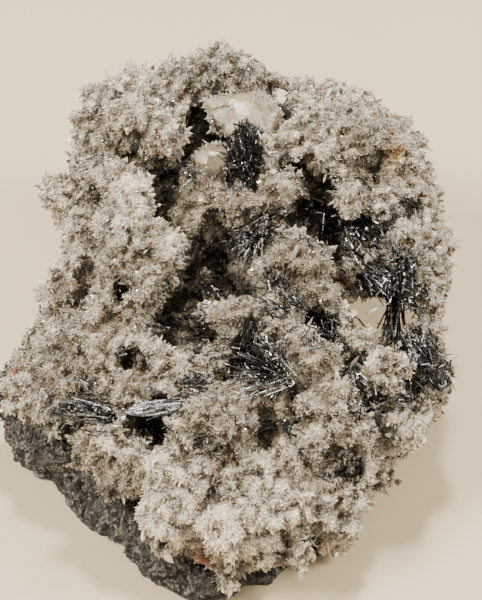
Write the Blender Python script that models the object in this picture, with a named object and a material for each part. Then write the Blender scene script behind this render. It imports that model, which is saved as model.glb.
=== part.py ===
"""Stibnite specimen: a grey host rock, a lumpy crust of fine quartz crystals over it,
two pale calcite crystals and sprays of dark stibnite blades set in the crust's pits.

It lies as it does in a display, crystal face up and leaning towards the viewer.
All sizes are in millimetres until each finished mesh is scaled to metres.
The origin is on the flat underside, +Z is up and the viewer looks along +Y.
"""

import math
import random

import bmesh
import bpy
from mathutils import Matrix, Vector, noise
from mathutils.bvhtree import BVHTree

MM = 0.001

# The layout is read from where the viewer stands: an eye this high above the surface and
# this far in front of the origin, looking 45 degrees down. "Across" and "up" are measured
# square to that line of sight, at the view distance.
EYE_HEIGHT = 224.0
EYE_BACK = 205.0
VIEW_DISTANCE = 316.7
VIEW_SLOPE = math.sin(math.radians(45))

GAP = 0.35  # clearance that neighbouring pieces keep
SEED = 7

TALL_SHARE = 0.14  # share of the bulging faces that carry a tall crystal
LOW_SHARE = 0.09  # share of the other faces that carry a low point
PRISM_HEIGHT = (0.6, 1.4)
POINT_HEIGHT = (0.7, 1.5)

TO_VIEWER = Vector((0, -1, 1)).normalized()
FACE_NORMAL = Vector((0, -0.34, 0.94)).normalized()
BLADE_FLATNESS = 0.6
CALCITE_BEVEL = 0.8
CALCITE_CLEARANCE = 3.0

LUMP_VOXEL = 1.0
CRUST_TRIANGLES = 4500
FAR_SIDE_SHARE = 0.48
CRUST_ROUGHNESS = 0.35
CRUST_GRAIN = 3.2
SINK_OF_CORE = 6.5  # how far the solid core's top lies under the leaning face
STALK_STEPS = 7
STALK_WIDTH = 0.88  # width of a lump's stalk, as a share of the lump's

# Height of the crystal face over the middle of the base, and its rise per mm to the back.
FACE_HEIGHT = 30.3
FACE_RISE = 0.36

# Lumps of quartz crystals, as (across, up, height of the centre, radius).
CROWN = [
    (-8.0, 40.5, 43.0, 4.3), (-3.5, 41.0, 45.0, 5.1), (0.5, 40.5, 43.5, 3.9),
    (-12.0, 38.5, 42.5, 4.0), (-15.0, 37.5, 41.5, 3.2), (3.0, 37.5, 38.5, 3.6),
]
HEAD = [
    (-18.5, 37.5, 43.0, 4.6), (-23.5, 36.0, 41.0, 3.7), (-26.0, 32.0, 39.5, 4.3),
    (-19.5, 32.0, 43.5, 4.8), (-14.5, 30.5, 42.5, 4.1), (-15.0, 27.0, 40.5, 3.6),
    (-25.5, 28.0, 38.5, 4.1), (-21.5, 28.0, 38.5, 3.0), (-12.5, 34.5, 41.5, 3.0),
]
WEST_WALL = [
    (-29.5, 24.0, 36.5, 2.0), (-22.5, 22.5, 39.0, 4.0), (-20.0, 19.0, 39.0, 4.0),
    (-28.0, 20.0, 32.5, 4.6), (-32.5, 19.0, 33.5, 3.0), (-34.8, 20.0, 34.0, 2.2),
    (-30.0, 17.0, 32.0, 3.2), (-24.0, 14.0, 37.0, 2.8), (-18.5, 13.0, 37.5, 3.0),
    (-29.0, 12.5, 31.5, 3.8), (-14.5, 10.0, 35.5, 3.6), (-12.5, 6.5, 34.5, 3.5),
    (-21.0, 8.0, 34.0, 4.6), (-28.0, 7.0, 30.0, 4.4), (-17.0, 2.5, 33.5, 3.8),
    (-30.0, 2.0, 26.0, 4.4), (-23.5, 0.0, 31.0, 4.3), (-33.5, -4.0, 18.0, 3.8),
    (-18.0, -4.5, 30.0, 3.4), (-17.0, -8.0, 28.0, 3.1), (-26.5, -6.5, 27.0, 4.6),
]
PLAIN = [
    (-33.0, -9.0, 22.0, 4.5), (-38.5, -13.0, 17.0, 4.3), (-31.0, -14.0, 22.0, 4.3),
    (-24.0, -12.5, 26.0, 4.0), (-36.5, -18.5, 16.0, 4.3), (-27.5, -17.5, 21.5, 3.7),
    (-20.5, -16.5, 25.0, 3.2), (-41.5, -17.5, 13.5, 3.5), (-33.0, -22.0, 15.5, 3.3),
    (-43.5, -21.0, 11.5, 3.0),
]
MOUNDS = [
    (-24.0, -25.5, 19.5, 4.6), (-27.5, -28.0, 16.0, 3.4), (-18.5, -28.0, 20.0, 3.7),
    (-22.0, -32.5, 15.5, 3.4), (-14.0, -32.0, 21.0, 3.9), (-14.0, -37.5, 18.0, 4.3),
    (-12.0, -42.0, 13.5, 3.4),
]
BOSSES = [
    (-4.5, -21.0, 26.5, 5.1), (-8.5, -24.5, 24.0, 3.8), (0.0, -23.5, 24.5, 3.8),
    (-6.5, -32.0, 19.5, 4.6), (-1.0, -34.5, 18.0, 3.5),
]
FRONT = [
    (-3.5, -41.0, 14.5, 4.7), (1.5, -44.5, 10.5, 3.9), (4.5, -38.0, 16.0, 5.1),
    (10.5, -37.5, 15.5, 4.3), (9.0, -44.5, 9.0, 4.3), (17.0, -40.0, 11.0, 3.9),
    (19.0, -36.5, 13.5, 3.2), (-3.0, -49.5, 5.0, 3.2), (17.5, -43.0, 5.5, 3.2),
    (-7.5, -45.0, 9.5, 3.0),
]
FIELD = [
    (6.0, -31.0, 20.0, 3.9), (12.5, -31.5, 18.0, 3.5), (14.5, -24.5, 22.5, 4.0),
    (9.0, -26.8, 22.0, 3.4), (20.5, -22.8, 21.0, 3.7), (15.5, -18.5, 25.5, 3.9),
    (29.0, -23.5, 16.5, 4.0), (25.5, -28.0, 12.5, 3.2), (31.5, -20.0, 17.5, 3.6),
    (26.0, -32.0, 9.0, 2.2), (21.0, -29.0, 15.5, 3.6), (24.5, -23.0, 15.5, 4.4),
]
ARM = [
    (26.0, -13.5, 26.5, 4.3), (30.5, -9.5, 23.5, 3.0), (34.0, -8.0, 23.0, 2.8),
    (34.5, -13.5, 20.5, 3.2), (33.5, -18.0, 18.0, 3.2), (34.2, -3.5, 25.0, 2.3),
    (34.2, 0.0, 27.0, 2.4), (30.0, -14.5, 19.0, 4.0), (34.2, -5.8, 24.0, 2.4),
]
ISLANDS = [
    (12.5, -12.5, 27.5, 5.1), (8.0, -6.5, 30.0, 3.8), (6.0, -2.0, 31.0, 3.9),
    (2.5, -17.5, 26.0, 4.3), (9.0, -19.0, 25.0, 3.9), (-2.0, -3.5, 30.0, 3.8),
    (2.0, -4.0, 29.5, 3.2), (-4.5, -9.0, 27.0, 3.1), (-8.5, -12.5, 25.0, 3.3),
    (-14.5, -13.0, 25.0, 3.5), (20.0, -8.0, 25.0, 3.5), (24.5, -8.2, 24.5, 2.7),
    (17.0, -3.5, 28.0, 2.8), (16.5, -15.5, 24.5, 3.6), (-10.3, -17.8, 24.5, 2.7),
]
TOWER = [
    (10.5, 6.5, 34.5, 4.6), (12.5, 2.0, 32.5, 3.5), (5.5, 5.5, 32.0, 3.5),
    (7.0, 11.0, 33.5, 3.1), (20.0, 4.5, 28.5, 3.4), (20.0, 12.0, 31.0, 3.7),
    (24.5, 8.0, 29.0, 3.2), (22.0, 3.2, 28.0, 2.8), (26.0, 3.6, 28.0, 2.6),
    (29.3, 2.4, 27.5, 2.4),
]
SHELF = [
    (6.0, 18.0, 38.0, 4.6), (1.5, 17.5, 37.0, 3.9), (9.0, 20.0, 38.5, 3.1),
    (-4.5, 17.5, 33.5, 4.0), (-9.5, 15.5, 32.0, 4.0), (-12.0, 20.0, 32.0, 4.0),
    (-7.5, 21.0, 33.5, 3.5), (-2.0, 12.0, 31.0, 3.1),
]
EAST_CREST = [
    (11.3, 36.8, 42.0, 3.4), (13.0, 33.5, 42.0, 3.6), (11.5, 30.0, 41.0, 4.0),
    (20.0, 33.0, 40.0, 3.9), (17.0, 28.5, 40.5, 4.4), (22.5, 29.0, 39.5, 4.4),
    (27.0, 28.5, 37.5, 3.7), (29.5, 24.5, 35.5, 4.1), (15.5, 25.0, 39.0, 3.1),
    (21.5, 19.0, 35.5, 4.1), (26.0, 18.0, 33.0, 3.8), (31.5, 18.0, 32.5, 4.1),
    (32.5, 10.0, 30.5, 4.4), (33.5, 6.0, 29.0, 3.9), (28.5, 12.0, 28.5, 3.8),
    (7.5, 27.0, 39.5, 3.0),
]
# Lumps inside the pits, on their floors.
PIT_FLOOR = [(-5.0, 1.5, 20.5, 4.2), (-9.0, -5.5, 18.5, 4.0), (-1.5, 10.5, 25.0, 2.6)]
LUMPS = (CROWN + HEAD + WEST_WALL + PLAIN + MOUNDS + BOSSES + FRONT + FIELD + ARM
         + ISLANDS + TOWER + SHELF + EAST_CREST)

# Lumps on the sides that face away from the viewer, as (x, y, z, radius).
BACK_LUMPS = [
    (-21, 36, 29, 6.0), (-11, 40, 31, 6.0), (0, 39, 30, 5.5), (-24, 29, 24, 6.0),
    (-17, 39, 18, 6.0), (-5, 41, 17, 6.5), (5, 37, 19, 6.0), (-27, 21, 21, 5.5),
    (-26, 14, 16, 5.0), (12, 31, 31, 5.5), (19, 29, 29, 5.5), (26, 24, 28, 5.0),
    (30, 17, 27, 4.5), (-26, 24, 11, 6.0), (-12, 38, 8, 6.0), (2, 37, 9, 6.0),
    (-30, 4, 14, 4.5), (8, 30, 12, 5.5), (10, 21, 10, 5.0), (11, 32, 21, 5.0),
    (-34.5, -6, 12, 4.5), (12, 14, 9, 4.5), (14, 4, 10, 4.5), (19, 27, 22, 4.5),
    (14, 24, 14, 4.5), (15, -5, 15, 4.0), (15, 9, 17, 4.0), (16, 18, 20, 4.0),
    (25, -19, 11, 4.0), (20, -14, 13, 4.0), (17, -31, 6, 4.0), (-29, 10, 9, 4.5),
]

# Pits and hollows between the lumps, as (across, up, height of the mouth's centre, radius,
# how much lower the pit's end lies along the line of sight).
PITS = [
    (-7.5, 4.0, 34.0, 5.6, 14.0), (-11.0, -1.5, 31.5, 5.2, 14.0), (-3.5, 8.5, 34.5, 4.2, 12.0),
    (-13.5, -4.5, 30.0, 4.2, 10.0), (-0.8, 9.0, 34.0, 2.8, 8.0), (-6.5, -6.5, 29.0, 3.6, 6.0),
    (-3.0, 3.5, 33.0, 3.4, 7.0), (-4.5, 13.8, 35.5, 2.2, 5.0), (-14.5, 22.0, 39.0, 3.2, 8.0),
    (-9.8, 25.5, 40.0, 2.8, 7.0), (-9.5, 32.5, 44.0, 2.5, 7.0), (-13.8, 18.5, 37.5, 2.2, 6.0),
    (-20.0, 26.5, 42.5, 2.2, 3.0), (-23.5, 30.0, 42.5, 1.6, 2.5), (17.8, 32.4, 43.5, 1.7, 3.0),
    (13.5, 17.0, 38.0, 4.6, 11.0), (16.5, 12.0, 35.5, 3.8, 9.0), (9.2, 15.4, 37.5, 2.8, 8.0),
    (5.2, 14.6, 36.5, 2.1, 6.0), (16.0, 22.3, 39.5, 2.4, 5.0), (18.4, 8.0, 33.5, 2.6, 5.0),
    (20.6, 14.3, 36.0, 2.2, 5.0), (10.5, 24.5, 41.0, 2.2, 5.0), (22.6, 21.3, 39.0, 2.0, 5.0),
    (23.4, 24.6, 40.0, 1.6, 4.0), (31.0, 16.0, 36.0, 2.3, 5.0), (4.3, 3.2, 34.0, 1.8, 4.0),
    (9.5, -0.8, 32.5, 2.0, 5.0), (15.0, -5.8, 30.5, 3.1, 7.0), (20.5, -12.5, 28.5, 2.1, 5.0),
    (24.0, -18.0, 25.5, 2.7, 6.0), (25.4, -22.3, 22.5, 1.9, 4.0),
    (31.0, -15.5, 24.5, 2.5, 4.0), (2.0, -6.0, 31.5, 1.9, 5.0), (4.8, -11.4, 30.5, 2.4, 6.0),
    (5.4, -15.4, 29.0, 2.3, 5.0), (-2.0, -13.4, 29.0, 2.0, 4.0), (-8.4, -15.6, 27.5, 1.8, 3.5),
    (4.5, -22.3, 27.5, 2.4, 6.0), (4.0, -26.0, 25.0, 1.7, 4.0), (11.0, -21.8, 27.0, 1.6, 4.0),
    (-5.8, -27.0, 23.8, 2.5, 6.0), (2.0, -28.0, 23.0, 1.6, 3.0), (-6.0, -35.8, 20.0, 1.8, 3.0),
    (16.0, -27.8, 22.0, 1.8, 2.5), (16.5, -31.0, 20.5, 1.7, 3.0), (12.5, -44.5, 9.5, 2.6, 4.0),
    (-15.5, -23.5, 23.5, 3.5, 7.0), (-20.5, -23.5, 22.0, 2.0, 4.0), (-20.8, -10.6, 29.5, 2.2, 5.0),
    (-29.5, -14.5, 26.0, 1.8, 2.5), (-31.0, -24.0, 18.5, 2.3, 4.0), (-21.8, 1.8, 34.0, 2.3, 4.0),
    (-29.2, -1.0, 29.0, 1.7, 3.0), (-25.5, -7.2, 30.0, 1.5, 2.5), (-26.5, 11.0, 34.5, 1.6, 2.5),
    (9.0, 13.5, 36.5, 2.2, 5.0), (27.5, 3.5, 31.0, 1.6, 3.0), (-12.5, -29.0, 23.5, 1.6, 3.0),
]

# The window that opens through the east side, down to the surface under the overhang.
WINDOW = [(23.5, -3.4, 27.5, 3.2), (26.2, -3.8, 26.5, 3.0), (21.2, -3.8, 26.5, 2.4)]
WINDOW_DEPTH = 34.0

# Outline of the solid core in plan, and of the overhang that has open space below it.
CORE_PLAN = [
    (-2, -41), (-11, -39), (-18, -32), (-26, -25), (-35, -17), (-36, -8), (-32, 1),
    (-26, 12), (-24, 24), (-22, 31), (-16, 36), (-5, 38), (4, 35), (8, 30), (13, 30),
    (14, 12), (13, -2), (18, -11), (27, -14), (28, -20), (21, -29), (13, -37),
]
ROOF_PLAN = [(8, 34), (16, 37), (23, 33), (29, 27), (33, 16), (34, 5), (27, 6), (18, 6), (10, 8)]
ROOF_THICKNESS = 7.5

# Host rock: plan outline where it meets the surface, and how high it reaches.
ROCK_PLAN = [
    (-2.5, -47.3), (-7, -46.4), (-11.5, -45.4), (-14.6, -43.0), (-17.2, -39.8), (-19.8, -35.6),
    (-24.8, -31.6), (-30.2, -26.3), (-37.0, -20.8), (-40.0, -16), (-38.3, -12), (-35, -6),
    (-31.5, 2), (-27, 12), (-25, 24), (-20, 33), (-8, 37), (2, 33), (7, 25), (9, 12), (9, 0),
    (13, -10), (19, -18), (18, -27), (15, -35), (10, -41), (3, -44.5),
]
ROCK_BLANK_HEIGHT = 24.0
ROCK_ROUGHNESS = 1.9
ROCK_GRAIN = 5.5
ROCK_TRIANGLES = 300
CONTACT_HEIGHT = 9.5
CONTACT_FALL = 0.12  # the contact drops this much per mm towards +X
FRONT_DIP = 6.5

# Stibnite sprays, each of one or more fans of blades that grow together. A fan is its root
# as (across, up, how far it stands out of the crust), its tip as (across, up, rise above the
# root), its number of blades, their width, and half the fan's angle.
SPRAYS = {
    "stibnite_by_calcite": [
        ((2.0, 21.3, -0.8), (0.0, 35.0, 9.5), 7, 1.7, 0.27),
    ],
    "stibnite_pit_wall": [
        ((4.8, 14.8, 0.0), (-1.8, 6.0, -0.5), 5, 1.1, 0.24),
    ],
    "stibnite_centre": [
        ((9.0, -14.8, 0.2), (-4.5, -10.5, 5.5), 7, 1.7, 0.50),
        ((9.0, -14.8, 0.2), (2.3, -4.3, 7.5), 4, 1.3, 0.18),
    ],
    "stibnite_bright_bundle": [
        ((-10.0, -18.2, 0.4), (-22.6, -21.4, 1.2), 5, 1.7, 0.09),
    ],
    "stibnite_west_bundle": [
        ((-24.6, -20.8, 0.3), (-35.0, -19.3, 0.5), 4, 0.9, 0.12),
    ],
    "stibnite_mid_spray": [
        ((13.0, -2.3, 0.8), (3.2, 3.8, 7.0), 6, 1.3, 0.40),
    ],
    "stibnite_low_pit": [
        ((18.8, -8.4, 0.5), (10.8, -6.4, 4.5), 5, 1.3, 0.40),
    ],
    "stibnite_ribbed_bundle": [
        ((19.5, 8.0, 0.3), (28.0, 0.0, 0.5), 6, 1.4, 0.16),
    ],
    "stibnite_arm_upper": [
        ((28.6, 9.0, 0.5), (30.3, -4.0, -1.5), 5, 1.4, 0.16),
    ],
    "stibnite_arm_lower": [
        ((30.6, -6.2, 0.5), (37.0, -15.0, -2.5), 6, 1.4, 0.24),
    ],
    "stibnite_needle_field": [
        ((18.5, 15.8, 0.0), (25.5, 8.5, 2.0), 6, 1.0, 0.40),
    ],
    "stibnite_lower_east": [
        ((23.3, -21.3, 0.3), (27.5, -14.8, 4.5), 5, 1.1, 0.44),
    ],
    "stibnite_short_blades": [
        ((-5.8, -14.6, 0.2), (-13.5, -16.2, 1.5), 4, 1.2, 0.26),
    ],
}

# Calcite crystals: corners of the face that shows, as (across, up, height), and thickness.
CALCITE = {
    "calcite_upper": ([(-6.5, 36.3, 43.5), (-3.8, 37.0, 44.5), (2.5, 38.3, 45.0),
                       (4.0, 37.5, 45.0), (7.5, 33.5, 43.5), (7.0, 29.5, 42.0),
                       (3.2, 28.5, 42.0), (-5.5, 31.0, 42.5)], 5.0),
    "calcite_lower": ([(-6.5, 28.0, 42.0), (-2.5, 28.3, 42.0), (-1.7, 27.0, 42.0),
                       (-1.8, 24.6, 41.0), (-3.5, 23.2, 40.5), (-5.6, 23.0, 40.5),
                       (-8.6, 24.2, 41.0), (-9.0, 25.3, 41.5)], 4.0),
}

COLOURS = {
    "rock": (0.16, 0.15, 0.14),
    "quartz": (0.55, 0.50, 0.42),
    "stibnite": (0.13, 0.14, 0.16),
    "calcite": (0.62, 0.57, 0.45),
}


def seen_at(across, up, height):
    """The point at that height on the viewer's line of sight through (across, up)."""
    side = across / VIEW_DISTANCE
    rise = up / VIEW_DISTANCE
    reach = (EYE_HEIGHT - height) / (VIEW_SLOPE * (1 - rise))
    return Vector((side * reach, VIEW_SLOPE * (1 + rise) * reach - EYE_BACK, height))


def sight_line(across, up):
    """The eye and the direction in which it sees (across, up)."""
    eye = Vector((0, -EYE_BACK, EYE_HEIGHT))
    return eye, (seen_at(across, up, 0.0) - eye).normalized()


def clear_scene():
    for item in list(bpy.data.objects):
        bpy.data.objects.remove(item, do_unlink=True)


def material(name, colour, roughness, metallic=0.0):
    made = bpy.data.materials.new(name)
    made.use_nodes = True
    shader = made.node_tree.nodes["Principled BSDF"]
    shader.inputs["Base Color"].default_value = (*colour, 1)
    shader.inputs["Roughness"].default_value = roughness
    shader.inputs["Metallic"].default_value = metallic
    return made


def object_from(shape, name):
    """An object that holds the bmesh, which is freed."""
    bmesh.ops.recalc_face_normals(shape, faces=shape.faces)
    mesh = bpy.data.meshes.new(name)
    shape.to_mesh(mesh)
    shape.free()
    item = bpy.data.objects.new(name, mesh)
    bpy.context.scene.collection.objects.link(item)
    return item


def bmesh_from(item):
    shape = bmesh.new()
    shape.from_mesh(item.data)
    return shape


def apply_modifiers(item):
    """Bakes the object's modifiers into its mesh."""
    bpy.context.view_layer.update()
    graph = bpy.context.evaluated_depsgraph_get()
    baked = bpy.data.meshes.new_from_object(item.evaluated_get(graph))
    item.modifiers.clear()
    item.data = baked


def remove(item):
    bpy.data.objects.remove(item, do_unlink=True)


def add_ball(shape, centre, radius, subdivisions=2):
    made = bmesh.ops.create_icosphere(shape, subdivisions=subdivisions, radius=radius)
    bmesh.ops.translate(shape, verts=made["verts"], vec=centre)
    return made["verts"]


def add_slab(shape, plan, bottom, top):
    """A closed prism over a plan outline; bottom and top give its height at (x, y)."""
    low = [shape.verts.new((x, y, bottom(x, y))) for x, y in plan]
    high = [shape.verts.new((x, y, top(x, y))) for x, y in plan]
    shape.faces.new(reversed(low))
    shape.faces.new(high)
    for i in range(len(plan)):
        j = (i + 1) % len(plan)
        shape.faces.new((low[i], low[j], high[j], high[i]))


def remesh(item, voxel):
    step = item.modifiers.new("remesh", "REMESH")
    step.mode = "VOXEL"
    step.voxel_size = voxel
    apply_modifiers(item)


def decimate(item, triangles):
    """Brings the mesh down to about that many triangles."""
    shape = bmesh_from(item)
    bmesh.ops.triangulate(shape, faces=shape.faces)
    shape.to_mesh(item.data)
    shape.free()
    step = item.modifiers.new("decimate", "DECIMATE")
    step.ratio = min(1.0, triangles / len(item.data.polygons))
    apply_modifiers(item)


def coarsen_far_side(item, share):
    """Takes triangles from the sides that the viewer doesn't see; share is what they keep."""
    shape = bmesh_from(item)
    shape.normal_update()
    away = [v.index for v in shape.verts if v.normal.dot(TO_VIEWER) < 0.0 or v.co.y > 38]
    far = sum(1 for face in shape.faces if face.normal.dot(TO_VIEWER) < 0.0)
    total = len(shape.faces)
    shape.free()
    group = item.vertex_groups.new(name="far side")
    group.add(away, 1.0, "REPLACE")
    step = item.modifiers.new("decimate", "DECIMATE")
    step.ratio = 1 - far * (1 - share) / total
    step.vertex_group = group.name
    apply_modifiers(item)
    item.vertex_groups.clear()


def cut(item, cutter, operation="DIFFERENCE"):
    step = item.modifiers.new("cut", "BOOLEAN")
    step.operation = operation
    step.solver = "EXACT"
    step.object = cutter
    apply_modifiers(item)


def roughen(item, amount, grain, offset=0.0):
    """Pushes the surface in and out by smooth noise; grain is the noise's size in mm."""
    shape = bmesh_from(item)
    shape.normal_update()
    moves = {}
    for vert in shape.verts:
        place = vert.co / grain + Vector((offset, offset, offset))
        coarse = noise.noise(place)
        fine = noise.noise(place * 2.3)
        moves[vert] = vert.normal * amount * (coarse + 0.5 * fine) * 1.6
    for vert, move in moves.items():
        vert.co += move
    shape.to_mesh(item.data)
    shape.free()


def keep_largest(item):
    """Drops loose crumbs that a cut left, so that the piece is one body."""
    shape = bmesh_from(item)
    left = set(shape.verts)
    shells = []
    while left:
        start = left.pop()
        shell = {start}
        front = [start]
        while front:
            vert = front.pop()
            for edge in vert.link_edges:
                other = edge.other_vert(vert)
                if other in left:
                    left.remove(other)
                    shell.add(other)
                    front.append(other)
        shells.append(shell)
    shells.sort(key=len, reverse=True)
    crumbs = [vert for shell in shells[1:] for vert in shell]
    bmesh.ops.delete(shape, geom=crumbs, context="VERTS")
    shape.to_mesh(item.data)
    shape.free()


def core_top(x, y):
    """Top of the solid core: it follows the leaning face, and sinks towards the west rim."""
    west_drop = max(0.0, -x - 28) * 0.6
    return FACE_HEIGHT - SINK_OF_CORE + FACE_RISE * y - west_drop


def contact(x, y):
    """Height at which the crust sits on the host rock."""
    dip = FRONT_DIP * min(1.0, max(0.0, (x + 12) / 10)) * min(1.0, max(0.0, (-y - 26) / 10))
    wave = 1.6 * noise.noise(Vector((x / 13, y / 13, 4.0)))
    return CONTACT_HEIGHT - CONTACT_FALL * x - dip + wave


def contact_block(name, level, shift):
    """A block between the contact, moved by the shift, and that level."""
    steps = 15
    side = 120.0
    shape = bmesh.new()
    grid = {}
    for i in range(steps + 1):
        for j in range(steps + 1):
            x = side * (i / steps - 0.5)
            y = side * (j / steps - 0.5)
            grid[i, j] = shape.verts.new((x, y, contact(x, y) + shift))
    for i in range(steps):
        for j in range(steps):
            shape.faces.new((grid[i, j], grid[i + 1, j], grid[i + 1, j + 1]))
            shape.faces.new((grid[i, j], grid[i + 1, j + 1], grid[i, j + 1]))
    grown_faces = bmesh.ops.extrude_face_region(shape, geom=list(shape.faces))
    for vert in (v for v in grown_faces["geom"] if isinstance(v, bmesh.types.BMVert)):
        vert.co.z = level
    return object_from(shape, name)


def make_rock():
    """The host rock: a rough slab with a flat underside, its top at the contact."""
    shape = bmesh.new()
    add_slab(shape, ROCK_PLAN, lambda x, y: -6.0, lambda x, y: ROCK_BLANK_HEIGHT)
    rock = object_from(shape, "host_rock")
    remesh(rock, 1.6)
    roughen(rock, ROCK_ROUGHNESS, ROCK_GRAIN, offset=3.1)
    decimate(rock, ROCK_TRIANGLES * 2)
    above = contact_block("above_contact", 90.0, -GAP / 2)
    cut(rock, above)
    remove(above)
    shape = bmesh.new()
    bmesh.ops.create_cube(shape, size=200, matrix=Matrix.Translation((0, 0, -100)))
    ground = object_from(shape, "ground")
    cut(rock, ground)
    remove(ground)
    keep_largest(rock)
    return rock


def pit_cutter():
    """All pits and the window's shaft as one closed shape."""
    shape = bmesh.new()
    for across, up, height, radius, depth in PITS:
        for share in (0.0, 0.33, 0.66, 1.0):
            narrowed = radius * (1 - 0.25 * share)
            centre = seen_at(across, up, height - depth * share)
            for vert in add_ball(shape, centre, narrowed):
                vert.co += 0.5 * noise.noise_vector(vert.co / 2.5)
    for across, up, height, radius in WINDOW:
        steps = 12
        for i in range(steps + 1):
            level = height + 6.0 - (WINDOW_DEPTH + 6.0) * i / steps
            add_ball(shape, seen_at(across, up, level), radius, 1)
    cutter = object_from(shape, "pits")
    remesh(cutter, LUMP_VOXEL)
    return cutter


def add_lump(shape, across, up, height, radius):
    """A lump, with a stalk behind it, where the viewer can't see it, down to the core."""
    level = height
    for step in range(STALK_STEPS):
        centre = seen_at(across, up, level)
        if step > 0 and centre.z + 0.3 * radius < core_top(centre.x, centre.y):
            break
        width = radius if step == 0 else radius * STALK_WIDTH
        for vert in add_ball(shape, centre, width):
            vert.co += 0.16 * width * noise.noise_vector(vert.co / (0.7 * radius))
        level -= 0.55 * radius


def make_crust_blank():
    """Core, overhang and lumps fused into one body, with the pits taken out."""
    shape = bmesh.new()
    add_slab(shape, CORE_PLAN, lambda x, y: -4.0, core_top)
    add_slab(shape, ROOF_PLAN, lambda x, y: core_top(x, y) - ROOF_THICKNESS,
             lambda x, y: core_top(x, y) + 1.5)
    for across, up, height, radius in LUMPS:
        add_lump(shape, across, up, height, radius)
    for x, y, z, radius in BACK_LUMPS:
        for vert in add_ball(shape, Vector((x, y, z)), radius):
            vert.co += 0.2 * radius * noise.noise_vector(vert.co / (0.7 * radius))
    crust = object_from(shape, "quartz_crust")
    remesh(crust, LUMP_VOXEL)
    cutter = pit_cutter()
    cut(crust, cutter)
    remove(cutter)
    shape = bmesh_from(crust)
    for across, up, height, radius in PIT_FLOOR:
        add_ball(shape, seen_at(across, up, height), radius)
    shape.to_mesh(crust.data)
    shape.free()
    remesh(crust, LUMP_VOXEL)
    roughen(crust, CRUST_ROUGHNESS, CRUST_GRAIN)
    keep_largest(crust)
    return crust


def crossing_faces(shape):
    """Indices of faces that cut through a face they share no corner with."""
    shape.faces.ensure_lookup_table()
    tree = BVHTree.FromBMesh(shape)
    crossing = set()
    for a, b in tree.overlap(tree):
        if a < b and not set(shape.faces[a].verts) & set(shape.faces[b].verts):
            crossing.update((a, b))
    return crossing


def smooth_crossings(item):
    """Evens out the few places where the decimated surface cuts through itself."""
    shape = bmesh_from(item)
    for _ in range(12):
        crossing = crossing_faces(shape)
        if not crossing:
            break
        verts = {vert for index in crossing for vert in shape.faces[index].verts}
        bmesh.ops.smooth_vert(shape, verts=list(verts), factor=0.5,
                              use_axis_x=True, use_axis_y=True, use_axis_z=True)
    shape.to_mesh(item.data)
    shape.free()


def bulges(face):
    """True where the surface falls away on all sides of the face."""
    centre = face.calc_center_median()
    for edge in face.edges:
        for other in edge.link_faces:
            if other is face:
                continue
            if (other.calc_center_median() - centre).dot(face.normal) > 0.05:
                return False
    return True


def grow_crystals(item):
    """Raises pointed crystals on the faces that bulge, and low points on some others."""
    rng = random.Random(SEED)
    shape = bmesh_from(item)
    shape.normal_update()
    crystals = []
    for face in list(shape.faces):
        size = math.sqrt(face.calc_area())
        longest = max(edge.calc_length() for edge in face.edges)
        centre = face.calc_center_median()
        if size < 0.8 or longest > 2.6 * size or centre.z < contact(centre.x, centre.y) + 2:
            continue
        lean = rng.uniform(0.0, 0.35)
        turn = rng.uniform(0.0, 2 * math.pi)
        side = face.normal.orthogonal().normalized()
        other = face.normal.cross(side)
        along = face.normal + lean * (math.cos(turn) * side + math.sin(turn) * other)
        tall = bulges(face) and rng.random() < TALL_SHARE
        if not tall and rng.random() > LOW_SHARE:
            continue
        base = list(face.verts)
        reach = rng.uniform(*PRISM_HEIGHT) if tall else 0.0
        ring = []
        if tall:
            for vert in base:
                level = centre + (vert.co - centre) * 0.85 + along * reach
                ring.append(shape.verts.new(level))
        apex = shape.verts.new(centre + along * (reach + rng.uniform(*POINT_HEIGHT)))
        shape.faces.remove(face)
        raised = []
        rim = ring if tall else base
        for i in range(len(base)):
            j = (i + 1) % len(base)
            raised.append(shape.faces.new((rim[i], rim[j], apex)))
            if tall:
                raised.append(shape.faces.new((base[i], base[j], ring[j], ring[i])))
        crystals.append((base, ring, apex, raised))
    for _ in range(8):
        shape.faces.index_update()
        crossing = crossing_faces(shape)
        if not crossing:
            break
        for base, ring, apex, raised in crystals:
            if any(face.index in crossing for face in raised):
                middle = sum((vert.co for vert in base), Vector()) / len(base)
                apex.co = middle.lerp(apex.co, 0.6)
                for low, high in zip(base, ring):
                    high.co = low.co.lerp(high.co, 0.6)
    shape.to_mesh(item.data)
    shape.free()


def add_blade(shape, root, tip, width, across, extra):
    """A lozenge prism with a chisel tip; extra widens and lengthens it all round."""
    axis = (tip - root).normalized()
    across = (across - axis * across.dot(axis)).normalized()
    thick = axis.cross(across)
    half = width / 2 + extra * 1.2
    flat = width * BLADE_FLATNESS / 2 + extra * 1.2
    length = (tip - root).length
    start = root - axis * extra
    shoulder = root + axis * (length - 1.6 * width)
    end = tip + axis * extra * 2
    corners = [across * half, thick * flat, -across * half, -thick * flat]
    low = [shape.verts.new(start + corner) for corner in corners]
    high = [shape.verts.new(shoulder + corner * 0.9) for corner in corners]
    point = shape.verts.new(end)
    shape.faces.new(reversed(low))
    for i in range(4):
        j = (i + 1) % 4
        shape.faces.new((low[i], low[j], high[j], high[i]))
        shape.faces.new((high[i], high[j], point))


def seat_fans(crust):
    """Works out where each fan's root and tip lie, from the crust that the viewer sees."""
    tree = BVHTree.FromBMesh(bmesh_from(crust))
    seats = {}
    for name, fans in SPRAYS.items():
        seats[name] = []
        for root, tip, *shape in fans:
            eye, way = sight_line(root[0], root[1])
            hit = tree.ray_cast(eye, way)[0]
            if hit is None:
                raise ValueError(f"{name} has no crust under its root")
            start = hit - way * root[2]
            seats[name].append((start, seen_at(tip[0], tip[1], start.z + tip[2]), *shape))
    return seats


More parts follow.
